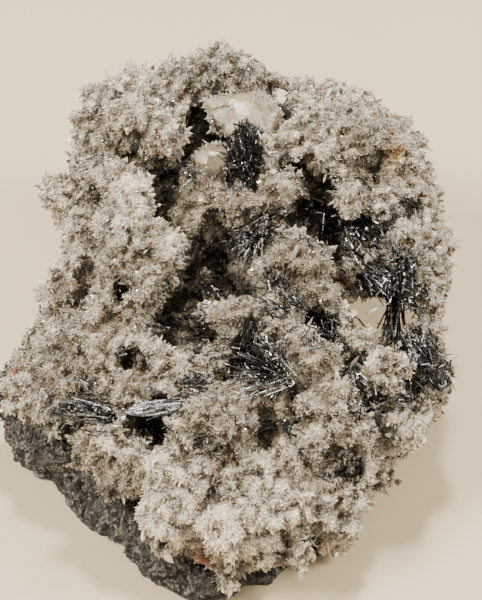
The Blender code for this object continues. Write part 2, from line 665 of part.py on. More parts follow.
def blades_of(rng, start, end, blades, width, fan, extra):
    """The root knob and the blades of one fan, each as a closed mesh of its own."""
    axis = (end - start).normalized()
    side = axis.cross(FACE_NORMAL).normalized()
    lift = side.cross(axis).normalized()
    length = (end - start).length
    knob = bmesh.new()
    add_ball(knob, start, width * 1.1 + extra, 1)
    parts = [knob]
    for i in range(blades):
        t = 2 * i / (blades - 1) - 1
        turn = t * fan + rng.uniform(-0.05, 0.05)
        tilt = rng.uniform(-0.10, 0.16)
        way = axis * math.cos(turn) + side * math.sin(turn) + lift * tilt
        shift = side * t * width * 0.13 * blades + lift * width * rng.uniform(-0.4, 0.5)
        reach = length * (1.0 - 0.30 * abs(t) - rng.uniform(0.0, 0.22))
        foot = start + shift - axis * width * 0.6
        roll = rng.uniform(-0.7, 0.7)
        broad = side * math.cos(roll) + lift * math.sin(roll)
        wide = width * rng.uniform(0.75, 1.2)
        shape = bmesh.new()
        add_blade(shape, foot, start + shift + way.normalized() * reach, wide, broad, extra)
        parts.append(shape)
    return parts


def make_spray(name, fans):
    """The spray's blades, fused into one body by Boolean unions."""
    rng = random.Random(name)
    parts = []
    for fan in fans:
        parts += blades_of(rng, *fan, 0.0)
    spray = object_from(parts[0], name)
    for shape in parts[1:]:
        blade = object_from(shape, "blade")
        cut(spray, blade, "UNION")
        remove(blade)
    keep_largest(spray)
    return spray


def make_rooms(name, fans):
    """The hollow that a spray sits in: the hull of each fan, grown by the clearance."""
    rng = random.Random(name)
    rooms = []
    for fan in fans:
        room = bmesh.new()
        for shape in blades_of(rng, *fan, GAP):
            for vert in shape.verts:
                room.verts.new(vert.co)
            shape.free()
        made = bmesh.ops.convex_hull(room, input=list(room.verts))
        spare = set(made["geom_interior"] + made["geom_unused"])
        bmesh.ops.delete(room, geom=list(spare), context="VERTS")
        bmesh.ops.dissolve_limit(room, angle_limit=0.12, verts=room.verts, edges=room.edges)
        rooms.append(object_from(room, name + "_room"))
    return rooms


def make_calcite(name, corners, thickness, extra=0.0, forward=0.0):
    """A calcite crystal: the face that shows, and its body behind it in the crust."""
    face = [seen_at(*corner) for corner in corners]
    centre = sum(face, Vector()) / len(face)
    inward = (centre - Vector((0, -EYE_BACK, EYE_HEIGHT))).normalized()
    shape = bmesh.new()
    front = []
    middle = []
    back = []
    for point in face:
        out = point - centre
        wide = 1 + extra / out.length
        front.append(shape.verts.new(centre + out * wide * (0.86 if extra == 0 else 1.0)
                                     - inward * (CALCITE_BEVEL + forward)))
        middle.append(shape.verts.new(centre + out * wide))
        back.append(shape.verts.new(centre + out * wide * 0.9 + inward * (thickness + extra)))
    shape.faces.new(front)
    shape.faces.new(reversed(back))
    for i in range(len(face)):
        j = (i + 1) % len(face)
        shape.faces.new((front[i], front[j], middle[j], middle[i]))
        shape.faces.new((middle[i], middle[j], back[j], back[i]))
    return object_from(shape, name)


def triangles_of(item):
    return sum(len(face.vertices) - 2 for face in item.data.polygons)


def main():
    clear_scene()
    noise.seed_set(SEED)
    rock = make_rock()
    crust = make_crust_blank()
    decimate(crust, CRUST_TRIANGLES)
    coarsen_far_side(crust, FAR_SIDE_SHARE)
    smooth_crossings(crust)
    grow_crystals(crust)
    smooth_crossings(crust)
    below = contact_block("below_contact", -30.0, GAP / 2)
    cut(crust, below)
    remove(below)
    pieces = [(rock, "rock")]
    seats = seat_fans(crust)
    calcites = []
    for name, (corners, thickness) in CALCITE.items():
        room = make_calcite(name + "_room", corners, thickness, GAP, CALCITE_CLEARANCE)
        cut(crust, room)
        remove(room)
        calcites.append(make_calcite(name, corners, thickness))
    sprays = []
    for name, fans in seats.items():
        for room in make_rooms(name, fans):
            for item in [crust, rock] + calcites:
                cut(item, room)
            remove(room)
        sprays.append(make_spray(name, fans))
    keep_largest(crust)
    pieces += [(crust, "quartz")]
    pieces += [(item, "calcite") for item in calcites]
    pieces += [(item, "stibnite") for item in sprays]
    looks = {
        "rock": material("host rock", COLOURS["rock"], 0.9),
        "quartz": material("quartz", COLOURS["quartz"], 0.45),
        "stibnite": material("stibnite", COLOURS["stibnite"], 0.35, 1.0),
        "calcite": material("calcite", COLOURS["calcite"], 0.4),
    }
    total = 0
    for item, kind in pieces:
        keep_largest(item)
        item.data.materials.clear()
        item.data.materials.append(looks[kind])
        item.data.transform(Matrix.Scale(MM, 4))
        total += triangles_of(item)
        print(item.name, triangles_of(item))
    print("total", total)


main()
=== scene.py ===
"""Stibnite specimen: a crust of fine quartz crystals over grey host rock, with pale calcite
and sprays of dark stibnite needles, lying crystal face up.

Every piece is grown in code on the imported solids. Lengths are in metres where they are
Blender properties, and in millimetres inside the building functions.
"""

import math

import bmesh
import bpy
import numpy as np
from bpy.props import FloatProperty, FloatVectorProperty, IntProperty, PointerProperty
from mathutils import Euler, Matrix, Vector, noise
from mathutils.bvhtree import BVHTree
from mathutils.kdtree import KDTree


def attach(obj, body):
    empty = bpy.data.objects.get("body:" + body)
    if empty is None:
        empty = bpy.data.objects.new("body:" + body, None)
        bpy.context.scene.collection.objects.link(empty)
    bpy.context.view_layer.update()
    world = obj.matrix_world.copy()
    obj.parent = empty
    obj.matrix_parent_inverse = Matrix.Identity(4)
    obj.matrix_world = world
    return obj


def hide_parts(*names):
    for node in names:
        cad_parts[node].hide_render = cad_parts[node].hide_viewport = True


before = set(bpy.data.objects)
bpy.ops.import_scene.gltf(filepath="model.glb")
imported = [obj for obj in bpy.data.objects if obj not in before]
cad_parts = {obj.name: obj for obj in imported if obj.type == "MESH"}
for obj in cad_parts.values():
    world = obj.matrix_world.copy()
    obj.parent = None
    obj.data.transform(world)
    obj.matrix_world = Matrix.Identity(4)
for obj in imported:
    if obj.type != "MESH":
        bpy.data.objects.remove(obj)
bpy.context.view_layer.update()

bl_info = {
    "name": "Stibnite Specimen",
    "version": (1, 0, 0),
    "blender": (4, 5, 0),
    "location": "View3D > Sidebar > Specimen",
    "description": "Grows quartz druse, stibnite needles, calcite and host rock on solids",
    "category": "Add Mesh",
}

MM = 0.001
BODY = "root"
SEED = 11

# The layout is read from where the viewer stands: "across" and "up" are millimetres square
# to a line of sight that looks 45 degrees down, at the view distance.
EYE = Vector((0.0, -205.0, 224.0))
VIEW_DISTANCE = 316.7
SIGHT = Vector((0.0, 1.0, -1.0)).normalized()
SIGHT_UP = Vector((0.0, 1.0, 1.0)).normalized()
FACE_NORMAL = Vector((0.0, -0.34, 0.94)).normalized()
GLINT_NORMAL = Vector((0.084, -0.174, 0.981))  # half-way between the viewer and the top light
CAMERA_LENS = 104.5
CAMERA_SENSOR = 36.0
CAMERA_TILT = math.radians(45)
CAMERA_CLIP = 0.01

# Lights: name, the setting that holds the power, place, size and colour.
LIGHTS = [
    ("left light", "key_power", (-0.34, -0.10, 0.40), 0.18, (1.0, 0.93, 0.82)),
    ("right light", "fill_power", (0.36, -0.06, 0.34), 0.16, (1.0, 0.925, 0.815)),
    ("top light", "top_power", (0.02, 0.14, 0.46), 0.06, (1.0, 0.955, 0.89)),
    ("front light", "front_power", (0.03, -0.27, 0.34), 0.20, (1.0, 0.94, 0.84)),
]
LIT_POINT = Vector((0, 0, 0.02))
ROOM_COLOUR = (1.0, 0.97, 0.92, 1)
FLOOR_HALF_SIDE = 1.2

QUARTZ_IOR = 1.54
CALCITE_IOR = 1.58
FACETS_PER_METRE = 2300.0  # of the ground between the crystals

# Druse: the shares of the crystals, shortest first, that end the low points, the grains and
# the three-sided prisms; the rest are four-sided.
KIND_STEPS = (0.62, 0.88, 0.97)
LONG_SHARE = 0.05  # share of the crystals that stand out
LONG_TIMES = 1.8
FAR_LENGTH_TIMES = 1.9  # how much longer and wider the crystals of the hidden sides are
FAR_WIDTH_TIMES = 2.2
LARGE_SPACING = (4.8, 7.5)  # of the strewn larger crystals, on the face and the hidden sides
WINDOW_PLACE = (24.5, -4.5)  # across and up
WINDOW_REACH = 6.0
OPENNESS_SAMPLES = 9000

CRUMB_SPACING = (0.69, 1.05)  # of the rock's crumbs, on the sides seen and on the others
CRUMB_WIDTHS = (0.30, 0.46)
LOWEST_CRUMB = 0.9
ROCK_GRAINS_PER_METRE = 2100.0
GRAIN_CORNERS = 6
SMALL_CRUMB_SHARE = 0.82
RIM_REACH = 2.6  # how far from the crust the rock's crumbs are paler

CALCITE_GRID = 0.00024  # in metres
RIM_GRAINS = 7.0  # quartz grains on a square millimetre of the calcite's rim
TERRACE_WIDTH = 1.9
TERRACE_HEIGHT = 0.16
CALCITE_SHARP_ANGLE = math.radians(24)

BROADEST_BLADE = 2.4  # in each bundle
BUNDLE_BLADE_TIMES = 1.9  # how much wider a bundle's blades are than a spray's
BUNDLE_FELT = 2  # short needles for each long one in a bundle
SPRAY_FELT = 6
TIP_REACH = 0.58  # a tip's least reach, as a share of the longest
TIP_LIKENESS = 0.994  # the cosine between tips that count as one
ROOT_CORNERS = 6
DARK_ZONE_NEEDLES = 9  # in a dark zone, for its radius squared
MOST_NEEDLES = 110
SHORT_NEEDLE = 1.7
LOWEST_NEEDLE = 2.0
ZONE_EDGE = 1.35  # where a zone fades out, over its radius

GRAIN_TURN = np.array(Euler((0.5, 0.8, 0.3)).to_matrix())  # keeps the noise off the axes

# Zones of the druse by what colours them: (across, up, radius, strength).
GREY_ZONES = [
    (-5.6, 40.9, 8.0, 1.0), (-34.4, -15.1, 9.0, 0.8), (32.5, 9.1, 6.5, 0.9),
    (-7.5, -31.0, 6.5, 0.7), (-27.0, 12.4, 2.2, 1.0), (29.8, -23.6, 5.5, 1.0),
    (-36.0, -6.0, 6.0, 0.6), (22.0, 30.0, 5.0, 0.4), (-2.0, -22.0, 5.0, 0.4),
]
PALE_ZONES = [
    (-12.9, -35.5, 6.5, 1.0), (-2.0, -41.8, 7.5, 1.0), (-20.8, 20.9, 4.5, 1.0),
    (-21.0, 14.0, 4.5, 0.8), (6.0, -38.5, 6.0, 0.7), (-34.0, 19.5, 3.5, 0.6),
    (9.5, 19.0, 3.5, 0.5), (12.0, 36.0, 4.0, 0.4), (29.0, -22.5, 5.5, 0.9),
    (-8.0, -42.0, 5.0, 0.8), (1.0, -39.0, 5.0, 0.8), (-14.5, -29.5, 3.5, 0.6),
    (5.0, 31.0, 3.0, 0.4),
]
OCHRE_ZONES = [
    (-7.5, 14.5, 8.0, 0.55), (14.7, -11.3, 4.0, 0.75), (18.9, 2.7, 2.6, 0.8),
    (-2.0, -28.2, 2.0, 0.9), (-7.5, -1.8, 5.0, 0.9), (16.2, -27.3, 2.4, 0.8),
    (-22.0, -9.0, 3.0, 0.5), (-28.5, -1.0, 2.4, 0.6),
    (10.0, 6.0, 4.0, 0.35), (8.0, -21.0, 4.0, 0.35), (-9.0, 28.0, 3.0, 0.6),
]
ROCKY_ZONES = [
    (-40.2, -20.9, 2.6, 0.8), (-36.2, -23.2, 2.6, 0.9), (-32.8, -27.4, 2.6, 1.0),
    (-28.7, -31.5, 2.6, 1.0), (-24.6, -35.2, 2.6, 1.0), (-20.6, -39.6, 2.6, 1.0),
    (-16.0, -43.0, 2.8, 0.9), (-11.1, -48.0, 2.8, 0.9), (-5.6, -50.5, 2.4, 0.7),
    (4.0, -49.0, 2.0, 0.6), (13.0, -44.5, 2.0, 0.6),
]
RUST_ZONES = [(-6.9, -46.6, 1.5, 1.0), (-5.6, -47.4, 1.0, 0.9), (-41.2, -12.9, 0.8, 1.0)]
GOLD_ZONES = [(28.6, 26.8, 1.8, 1.0), (27.0, 24.5, 1.4, 0.5), (17.0, -35.0, 0.9, 0.7)]

# Duller stretches between the pits, where the crystals are dusty.
DUSTY_ZONES = [
    (2.0, 17.0, 8.0, 0.9), (-2.0, -3.5, 7.0, 1.0), (10.0, 6.0, 9.0, 1.0), (12.0, -11.0, 8.0, 0.6),
    (13.0, -24.0, 8.0, 0.45), (-22.0, 2.0, 10.0, 1.0), (-4.5, -21.0, 6.0, 0.7),
    (25.0, 25.0, 8.0, 0.7), (-26.0, -14.0, 7.0, 0.5), (-27.0, -28.0, 4.0, 0.4),
    (20.0, -8.0, 5.0, 0.5), (-11.0, 19.0, 6.0, 0.9), (-25.0, 29.0, 8.0, 0.3),
    (33.0, 4.0, 6.0, 0.5), (-28.0, 10.0, 5.0, 0.5), (15.0, 38.0, 5.0, 0.3), (22.5, 30.9, 4.5, 0.8),
    (8.4, 9.6, 5.0, 1.0), (-1.5, -3.5, 4.0, 1.0),
]

# Places that dust, iron stain and fine stibnite make dark; where they are pits and holes, the
# darkening is also painted shade.
DARK_ZONES = [
    (13.5, 17.3, 4.5, 1.0), (16.2, 11.8, 4.0, 1.0), (18.9, 9.1, 2.5, 0.9), (8.0, 14.2, 3.0, 0.9),
    (23.5, 11.8, 2.8, 0.8), (22.5, 22.7, 2.4, 0.8), (26.2, 5.5, 3.5, 0.8), (16.2, 22.2, 2.4, 0.7),
    (20.7, 3.6, 2.8, 0.7), (30.7, 16.7, 2.4, 0.8), (29.8, -2.2, 3.0, 1.0), (30.4, -8.2, 2.6, 0.9),
    (30.7, -15.5, 3.2, 0.9), (33.5, -11.8, 2.4, 0.7), (36.2, -14.9, 1.6, 1.0),
    (20.7, -13.1, 2.4, 0.9), (23.8, -18.2, 3.0, 0.9), (24.9, -23.6, 2.2, 0.7),
    (16.2, -27.6, 2.0, 0.6), (21.3, -30.2, 1.6, 0.6), (15.3, -5.8, 3.4, 1.0),
    (21.3, -3.3, 1.8, 0.8), (10.7, 0.0, 2.4, 0.8), (6.2, 3.6, 2.4, 0.8), (3.8, -9.1, 2.4, 0.9),
    (6.2, -14.9, 3.6, 0.9), (-2.0, -13.6, 2.2, 0.9), (-8.0, -15.5, 1.6, 1.0),
    (1.6, -6.0, 1.8, 0.9), (-4.7, 8.2, 4.4, 1.0), (-10.2, -0.9, 5.0, 1.0), (-13.8, -4.5, 3.0, 0.9),
    (0.7, 10.9, 2.8, 0.9), (-3.8, 2.7, 3.0, 0.9), (-6.5, -8.2, 2.8, 0.8), (0.0, 26.0, 3.0, 0.9),
    (-9.8, 31.0, 2.0, 0.8), (-15.6, 23.6, 2.4, 0.9), (-13.8, 18.5, 2.0, 0.9),
    (8.9, 24.9, 1.8, 0.8), (-19.3, 27.3, 1.6, 0.5), (-4.2, 15.5, 1.8, 0.6), (-21.6, 2.2, 2.0, 0.8),
    (-29.3, -0.9, 1.6, 0.8), (-21.1, -10.0, 1.8, 0.9), (-18.4, -11.3, 1.6, 0.7),
    (-29.3, -14.2, 1.6, 0.6), (-31.6, -23.6, 1.8, 1.0), (-15.6, -23.3, 3.0, 1.0),
    (-5.6, -26.5, 2.2, 1.0), (3.8, -23.3, 2.2, 0.9), (-5.1, -35.3, 1.4, 0.7),
    (13.5, -43.6, 1.8, 0.9), (25.5, -1.0, 2.0, 0.5), (33.0, 1.0, 2.0, 0.5),
]

ZONES = {"dark": DARK_ZONES, "dusty": DUSTY_ZONES, "grey": GREY_ZONES, "pale": PALE_ZONES,
         "rocky": ROCKY_ZONES, "ochre": OCHRE_ZONES, "rust": RUST_ZONES, "gold": GOLD_ZONES}

# Stibnite finishes: the share of the metal that isn't tarnished, over one for all of it.
FINISHES = {"bright_stibnite": 2.5, "worn_stibnite": 1.0, "tarnished_stibnite": 0.7,
            "felted_stibnite": 0.3}

# Stibnite sprays: where the viewer sees each root, its striated blades, its fine needles,
# the quartz grains on it and its finish.
SPRAYS = {
    "stibnite_by_calcite": ((2.0, 21.3), 5, 75, 14, "felted_stibnite"),
    "stibnite_pit_wall": ((4.8, 14.8), 7, 40, 70, "tarnished_stibnite"),
    "stibnite_centre": ((9.0, -14.8), 11, 95, 50, "worn_stibnite"),
    "stibnite_bright_bundle": ((-10.0, -18.2), 9, 16, 14, "bright_stibnite"),
    "stibnite_west_bundle": ((-24.6, -20.8), 5, 130, 70, "tarnished_stibnite"),
    "stibnite_mid_spray": ((13.0, -2.3), 6, 50, 60, "worn_stibnite"),
    "stibnite_low_pit": ((18.8, -8.4), 5, 40, 60, "tarnished_stibnite"),
    "stibnite_ribbed_bundle": ((19.5, 8.0), 8, 90, 40, "worn_stibnite"),
    "stibnite_arm_upper": ((28.6, 9.0), 7, 45, 70, "tarnished_stibnite"),
    "stibnite_arm_lower": ((30.6, -6.2), 7, 60, 70, "tarnished_stibnite"),
    "stibnite_needle_field": ((18.5, 15.8), 6, 45, 70, "tarnished_stibnite"),
    "stibnite_lower_east": ((23.3, -21.3), 5, 35, 70, "tarnished_stibnite"),
    "stibnite_short_blades": ((-5.8, -14.6), 5, 30, 50, "worn_stibnite"),
}

# Patches of loose needles: (across, up, radius, needles, needle length, heading in degrees
# from the viewer's right, spread of the heading in degrees).
NEEDLE_PATCHES = [
    (7.3, 0.0, 3.6, 90, 3.2, 150, 60), (14.8, -5.5, 3.6, 80, 3.0, 160, 60),
    (20.7, -12.5, 2.4, 40, 2.6, 60, 90), (22.5, -17.8, 3.6, 80, 2.8, 130, 50),
    (21.0, 11.2, 3.8, 90, 3.4, 130, 35), (24.5, 3.5, 3.2, 60, 3.4, 130, 30),
    (29.5, 6.0, 2.6, 70, 3.4, 100, 40), (31.0, -2.5, 2.4, 60, 3.2, 95, 45),
    (32.0, -8.5, 3.4, 90, 3.2, 120, 60), (35.0, -13.5, 3.6, 110, 3.0, 130, 70),
    (2.0, -10.5, 5.2, 170, 3.4, 175, 60), (1.8, -6.5, 2.6, 50, 3.0, 100, 40),
    (-8.0, -15.5, 1.9, 36, 2.4, 170, 50), (1.6, 10.5, 3.2, 80, 3.6, 60, 30),
    (13.8, 14.0, 4.4, 110, 3.2, 140, 60), (-27.0, -20.4, 4.5, 70, 3.6, 175, 18),
    (-9.7, 1.4, 5.4, 50, 2.8, 90, 90), (-8.8, 32.0, 2.6, 50, 2.6, 80, 60),
    (-12.4, 23.6, 4.0, 60, 2.6, 30, 80), (18.4, -30.5, 3.8, 90, 2.0, 90, 90),
    (-31.0, -23.8, 1.9, 26, 2.0, 0, 80), (-28.3, 24.1, 1.8, 12, 4.2, 36, 12),
    (-4.7, 30.5, 1.6, 22, 2.6, 50, 50), (30.5, -18.0, 2.6, 50, 2.4, 120, 70),
    (-15.5, -23.0, 3.2, 50, 2.6, 10, 60), (9.5, -22.5, 2.6, 40, 2.2, 150, 70),
    (26.0, 13.0, 2.6, 40, 2.6, 120, 60), (1.2, 29.5, 2.6, 150, 1.7, 90, 90),
    (1.0, 25.0, 3.4, 190, 1.7, 80, 90), (-1.2, 22.2, 2.6, 90, 1.5, 100, 90),
    (-4.6, 31.2, 1.9, 26, 1.6, 50, 70), (-3.6, 28.9, 1.4, 16, 1.4, 20, 70),
    (29.4, 1.5, 1.8, 90, 2.6, 105, 40), (30.0, -3.6, 1.7, 110, 2.6, 95, 40),
    (30.8, -8.0, 2.0, 90, 2.6, 105, 50),
]

# Needles that cross the window, as (across, up) of both ends and their height, and the
# matted clump along its right side, as means and spreads of the same five values.
BRIDGES = [
    (28.0, -4.6, 24.2, -4.2, 25.6), (28.8, -5.0, 25.2, -6.8, 25.2), (26.8, -0.6, 22.8, -2.4, 26.8),
    (20.2, -2.0, 23.0, -5.6, 26.2),
]
CLUMP = [(28.2, 0.9), (1.6, 0.5), (27.2, 1.3), (-7.2, 0.8), (25.8, 0.5)]
CLUMP_NEEDLES = 46

# Cleavage faces of the calcite: which way each faces, the share of the crystal's corners
# that it leaves, and the direction across its steps.
CLEAVAGE = [
    ((0.30, -0.62, 0.72), 0.84, (0.8, 0.5, 0.1)), ((-0.50, -0.45, 0.74), 0.90, (0.2, 0.9, 0.4)),
    ((0.05, 0.25, 0.97), 0.94, (0.9, -0.3, 0.2)), ((0.75, -0.60, 0.25), 0.95, (0.1, 0.7, 0.7)),
    ((-0.80, -0.55, 0.20), 0.95, (0.1, 0.7, 0.7)), ((0.0, -0.98, 0.15), 0.96, (0.9, 0.1, 0.3)),
]

# Larger single quartz crystals: (across, up, length, width, heading, lean from the surface).
LARGE_CRYSTALS = [
    (-17.6, -17.2, 5.0, 1.2, 100, 35), (19.8, -12.4, 2.6, 1.0, 80, 50),
    (24.9, -32.4, 2.4, 1.3, 190, 65), (-33.2, 12.3, 3.0, 0.6, 178, 10),
    (9.4, 7.6, 2.4, 0.9, 60, 60), (28.6, -21.8, 2.6, 1.1, 100, 55),
    (29.6, -25.2, 2.4, 1.1, 120, 55), (-5.2, 46.6, 2.2, 0.7, 95, 80),
    (-23.3, 24.0, 2.6, 0.9, 120, 50), (-15.0, 14.6, 2.4, 0.9, 30, 50),
    (30.4, -23.0, 2.2, 1.0, 60, 60), (27.4, -24.6, 2.4, 1.0, 200, 55),
]


class SpecimenDruse(bpy.types.PropertyGroup):
    spacing: FloatProperty(
        name="Spacing", description="Distance between neighbouring crystals on the face",
        default=0.00046, min=0.0003, max=0.003, unit="LENGTH", precision=5)
    far_spacing: FloatProperty(
        name="Far spacing", description="Distance between crystals on the hidden sides",
        default=0.00125, min=0.0005, max=0.005, unit="LENGTH", precision=5)
    length: FloatProperty(
        name="Crystal length", description="Usual length of a crystal",
        default=0.00048, min=0.0003, max=0.004, unit="LENGTH", precision=5)
    width: FloatProperty(
        name="Crystal width", description="Usual width of a crystal",
        default=0.00030, min=0.0001, max=0.002, unit="LENGTH", precision=5)
    ground_grid: FloatProperty(
        name="Ground grid", description="Size of the ground's faces under the crystals",
        default=0.00068, min=0.0004, max=0.003, unit="LENGTH", precision=5)
    inset: FloatProperty(
        name="Inset", description="How far the ground lies inside the solid",
        default=0.0004, min=0.0, max=0.003, unit="LENGTH", precision=5)
    lump: FloatProperty(
        name="Lump size", description="Size of the small lumps that the crystals form",
        default=0.0036, min=0.001, max=0.02, unit="LENGTH", precision=5)
    relief: FloatProperty(
        name="Lump relief", description="Height of the small lumps over their creases",
        default=0.00115, min=0.0, max=0.004, unit="LENGTH", precision=5)
    # Also used as painted light: the tops of the lumps are made paler with it.
    pale: FloatVectorProperty(
        name="Pale quartz", description="Colour of the cleanest crystals",
        subtype="COLOR", default=(0.88, 0.77, 0.615), min=0.0, max=1.0)
    usual: FloatVectorProperty(
        name="Usual quartz", description="Colour of most crystals",
        subtype="COLOR", default=(0.355, 0.295, 0.222), min=0.0, max=1.0)
    grey: FloatVectorProperty(
        name="Grey quartz", description="Colour of crystals that grew with dark dust",
        subtype="COLOR", default=(0.235, 0.21, 0.177), min=0.0, max=1.0)
    ochre: FloatVectorProperty(
        name="Ochre", description="Colour of the iron stain in hollows",
        subtype="COLOR", default=(0.185, 0.124, 0.058), min=0.0, max=1.0)
    # Partly dust and partly painted shade: the dusty zones take it as dust, and the dips and
    # creases between the lumps take it as painted shade.
    dust_and_shade: FloatVectorProperty(
        name="Dust and painted shade in dips", description="Colour of the crystals in the dips between lumps",
        subtype="COLOR", default=(0.155, 0.126, 0.088), min=0.0, max=1.0)
    rocky: FloatVectorProperty(
        name="Rocky rim", description="Colour of the crystals that are grown into the rock",
        subtype="COLOR", default=(0.090, 0.079, 0.068), min=0.0, max=1.0)
    rust: FloatVectorProperty(
        name="Rust", description="Colour of the small orange spots",
        subtype="COLOR", default=(0.42, 0.12, 0.04), min=0.0, max=1.0)
    gold: FloatVectorProperty(
        name="Golden stain", description="Colour of the yellow-brown spots",
        subtype="COLOR", default=(0.36, 0.22, 0.075), min=0.0, max=1.0)
    # Mostly painted shade: the ground is darkened to it in its hollows, creases and small pits. It
    # also darkens the dark zones.
    deep: FloatVectorProperty(
        name="Deep hollow", description="Colour of the ground at the bottom of the pits",
        subtype="COLOR", default=(0.050, 0.036, 0.020), min=0.0, max=1.0)


class SpecimenRock(bpy.types.PropertyGroup):
    grid: FloatProperty(
        name="Surface grid", description="Size of the rock surface's faces",
        default=0.0007, min=0.0003, max=0.003, unit="LENGTH", precision=5)
    relief: FloatProperty(
        name="Relief", description="Height of the rough surface's relief",
        default=0.0010, min=0.0, max=0.003, unit="LENGTH", precision=5)
    dark: FloatVectorProperty(
        name="Dark rock", description="Colour of the rock's fine matrix",
        subtype="COLOR", default=(0.0125, 0.0115, 0.0108), min=0.0, max=1.0)
    light: FloatVectorProperty(
        name="Light grains", description="Colour of the rock's lighter grains",
        subtype="COLOR", default=(0.080, 0.073, 0.066), min=0.0, max=1.0)
    quartz: FloatVectorProperty(
        name="Quartz grains", description="Colour of the palest grains on the rock",
        subtype="COLOR", default=(0.26, 0.237, 0.212), min=0.0, max=1.0)
    brown: FloatVectorProperty(
        name="Brown stain", description="Colour of the weathered patches",
        subtype="COLOR", default=(0.050, 0.041, 0.034), min=0.0, max=1.0)


class SpecimenStibnite(bpy.types.PropertyGroup):
    metal: FloatVectorProperty(
        name="Metal", description="Lead-grey colour of the blades",
        subtype="COLOR", default=(0.56, 0.555, 0.545), min=0.0, max=1.0)
    tarnish: FloatVectorProperty(
        name="Tarnish", description="Darker colour of the tarnished blades",
        subtype="COLOR", default=(0.040, 0.040, 0.042), min=0.0, max=1.0)
    blade_width: FloatProperty(
        name="Blade width", description="Usual width of a striated blade",
        default=0.00080, min=0.0003, max=0.003, unit="LENGTH", precision=5)
    needle_width: FloatProperty(
        name="Needle width", description="Usual width of a fine needle",
        default=0.00018, min=0.00005, max=0.001, unit="LENGTH", precision=5)
    ribs: IntProperty(
        name="Ribs", description="Growth ribs across a blade", default=4, min=2, max=12)


class SpecimenCalcite(bpy.types.PropertyGroup):
    body: FloatVectorProperty(
        name="Body", description="Colour of the waxy calcite",
        subtype="COLOR", default=(0.205, 0.168, 0.108), min=0.0, max=1.0)
    cloud: FloatVectorProperty(
        name="Clouding", description="Colour of the milky clouds in it",
        subtype="COLOR", default=(0.335, 0.28, 0.19), min=0.0, max=1.0)


class SpecimenStage(bpy.types.PropertyGroup):
    floor: FloatVectorProperty(
        name="Floor", description="Colour of the plain floor",
        subtype="COLOR", default=(0.60, 0.50, 0.322), min=0.0, max=1.0)
    key_power: FloatProperty(
        name="Left light", description="Power of the soft light from the left",
        default=5.5, min=0.0, unit="POWER")
    fill_power: FloatProperty(
        name="Right light", description="Power of the soft light from the right",
        default=3.1, min=0.0, unit="POWER")
    top_power: FloatProperty(
        name="Top light", description="Power of the small light above",
        default=2.4, min=0.0, unit="POWER")
    front_power: FloatProperty(
        name="Front light", description="Power of the large light over the viewer",
        default=0.4, min=0.0, unit="POWER")
    air: FloatProperty(
        name="Room light", description="Strength of the even light of the room",
        default=0.28, min=0.0)


# Where things lie


def sight_line(across, up):
    """The direction from the eye through a place in the viewer's layout."""
    side = across / VIEW_DISTANCE
    rise = up / VIEW_DISTANCE
    return (SIGHT + Vector((side, 0, 0)) + SIGHT_UP * rise).normalized()


def layout_of(points):
    """(across, up) of each of an array of points in millimetres."""
    away = points - np.array(EYE)
    depth = away @ np.array(SIGHT)
    across = away[:, 0] / depth * VIEW_DISTANCE
    up = (away @ np.array(SIGHT_UP)) / depth * VIEW_DISTANCE
    return np.stack([across, up], axis=1)


def read_array(items, key, width, kind):
    """One value of each of a mesh's items, as the rows of an array."""
    flat = np.zeros(len(items) * width, kind)
    items.foreach_get(key, flat)
    return flat.reshape(-1, width)


def positions(mesh):
    """The mesh's corners in millimetres."""
    return read_array(mesh.vertices, "co", 3, np.float64) / MM


def corner_normals(mesh):
    """The direction that the surface faces at each of the mesh's corners."""
    return read_array(mesh.vertices, "normal", 3, np.float32).astype(np.float64)


def triangles(mesh):
    """The mesh's triangles as corner numbers."""
    mesh.calc_loop_triangles()
    return read_array(mesh.loop_triangles, "vertices", 3, np.int32)


def tree_of(*meshes):
    """A search tree of the meshes in millimetres."""
    corners, faces = joined([(positions(mesh), triangles(mesh)) for mesh in meshes])
    return BVHTree.FromPolygons(corners.tolist(), faces.tolist())


def unit(vectors):
    """The rows of an array, each brought to length one."""
    return vectors / np.maximum(np.linalg.norm(vectors, axis=1, keepdims=True), 1e-9)


def across_axes(axes, rng):
    """Two directions square to each axis, turned at random about it."""
    helper = np.where(np.abs(axes[:, 2:3]) < 0.8, [[0.0, 0.0, 1.0]], [[1.0, 0.0, 0.0]])
    first = unit(np.cross(axes, helper))
    second = np.cross(axes, first)
    turn = rng.uniform(0, 2 * math.pi, len(axes))[:, None]
    return (first * np.cos(turn) + second * np.sin(turn),
            second * np.cos(turn) - first * np.sin(turn))


def wave(points, size, offset=0.0):
    """Smooth noise between -1 and 1 at each point; size is its grain in millimetres."""
    turned = points @ GRAIN_TURN.T / size + offset
    return np.array([noise.noise(point) for point in turned.tolist()])


# Meshes from arrays


def new_object(name, data):
    """An object with the data, in the scene."""
    item = bpy.data.objects.new(name, data)
    bpy.context.scene.collection.objects.link(item)
    return item


def keep_masks(mesh, masks):
    """Stores a value for each corner under each mask's name, for the materials."""
    for label, values in masks.items():
        layer = mesh.attributes.new(label, "FLOAT", "POINT")
        layer.data.foreach_set("value", values.astype(np.float32))


def mesh_object(name, corners, faces, masks=None):
    """A flat-shaded object made from corners in millimetres and triangles."""
    mesh = bpy.data.meshes.new(name)
    mesh.vertices.add(len(corners))
    mesh.vertices.foreach_set("co", (corners * MM).astype(np.float32).ravel())
    mesh.loops.add(len(faces) * 3)
    mesh.loops.foreach_set("vertex_index", faces.astype(np.int32).ravel())
    mesh.polygons.add(len(faces))
    mesh.polygons.foreach_set("loop_start", np.arange(len(faces), dtype=np.int32) * 3)
    mesh.update(calc_edges=True)
    mesh.validate()
    keep_masks(mesh, masks or {})
    mesh.shade_flat()
    return new_object(name, mesh)


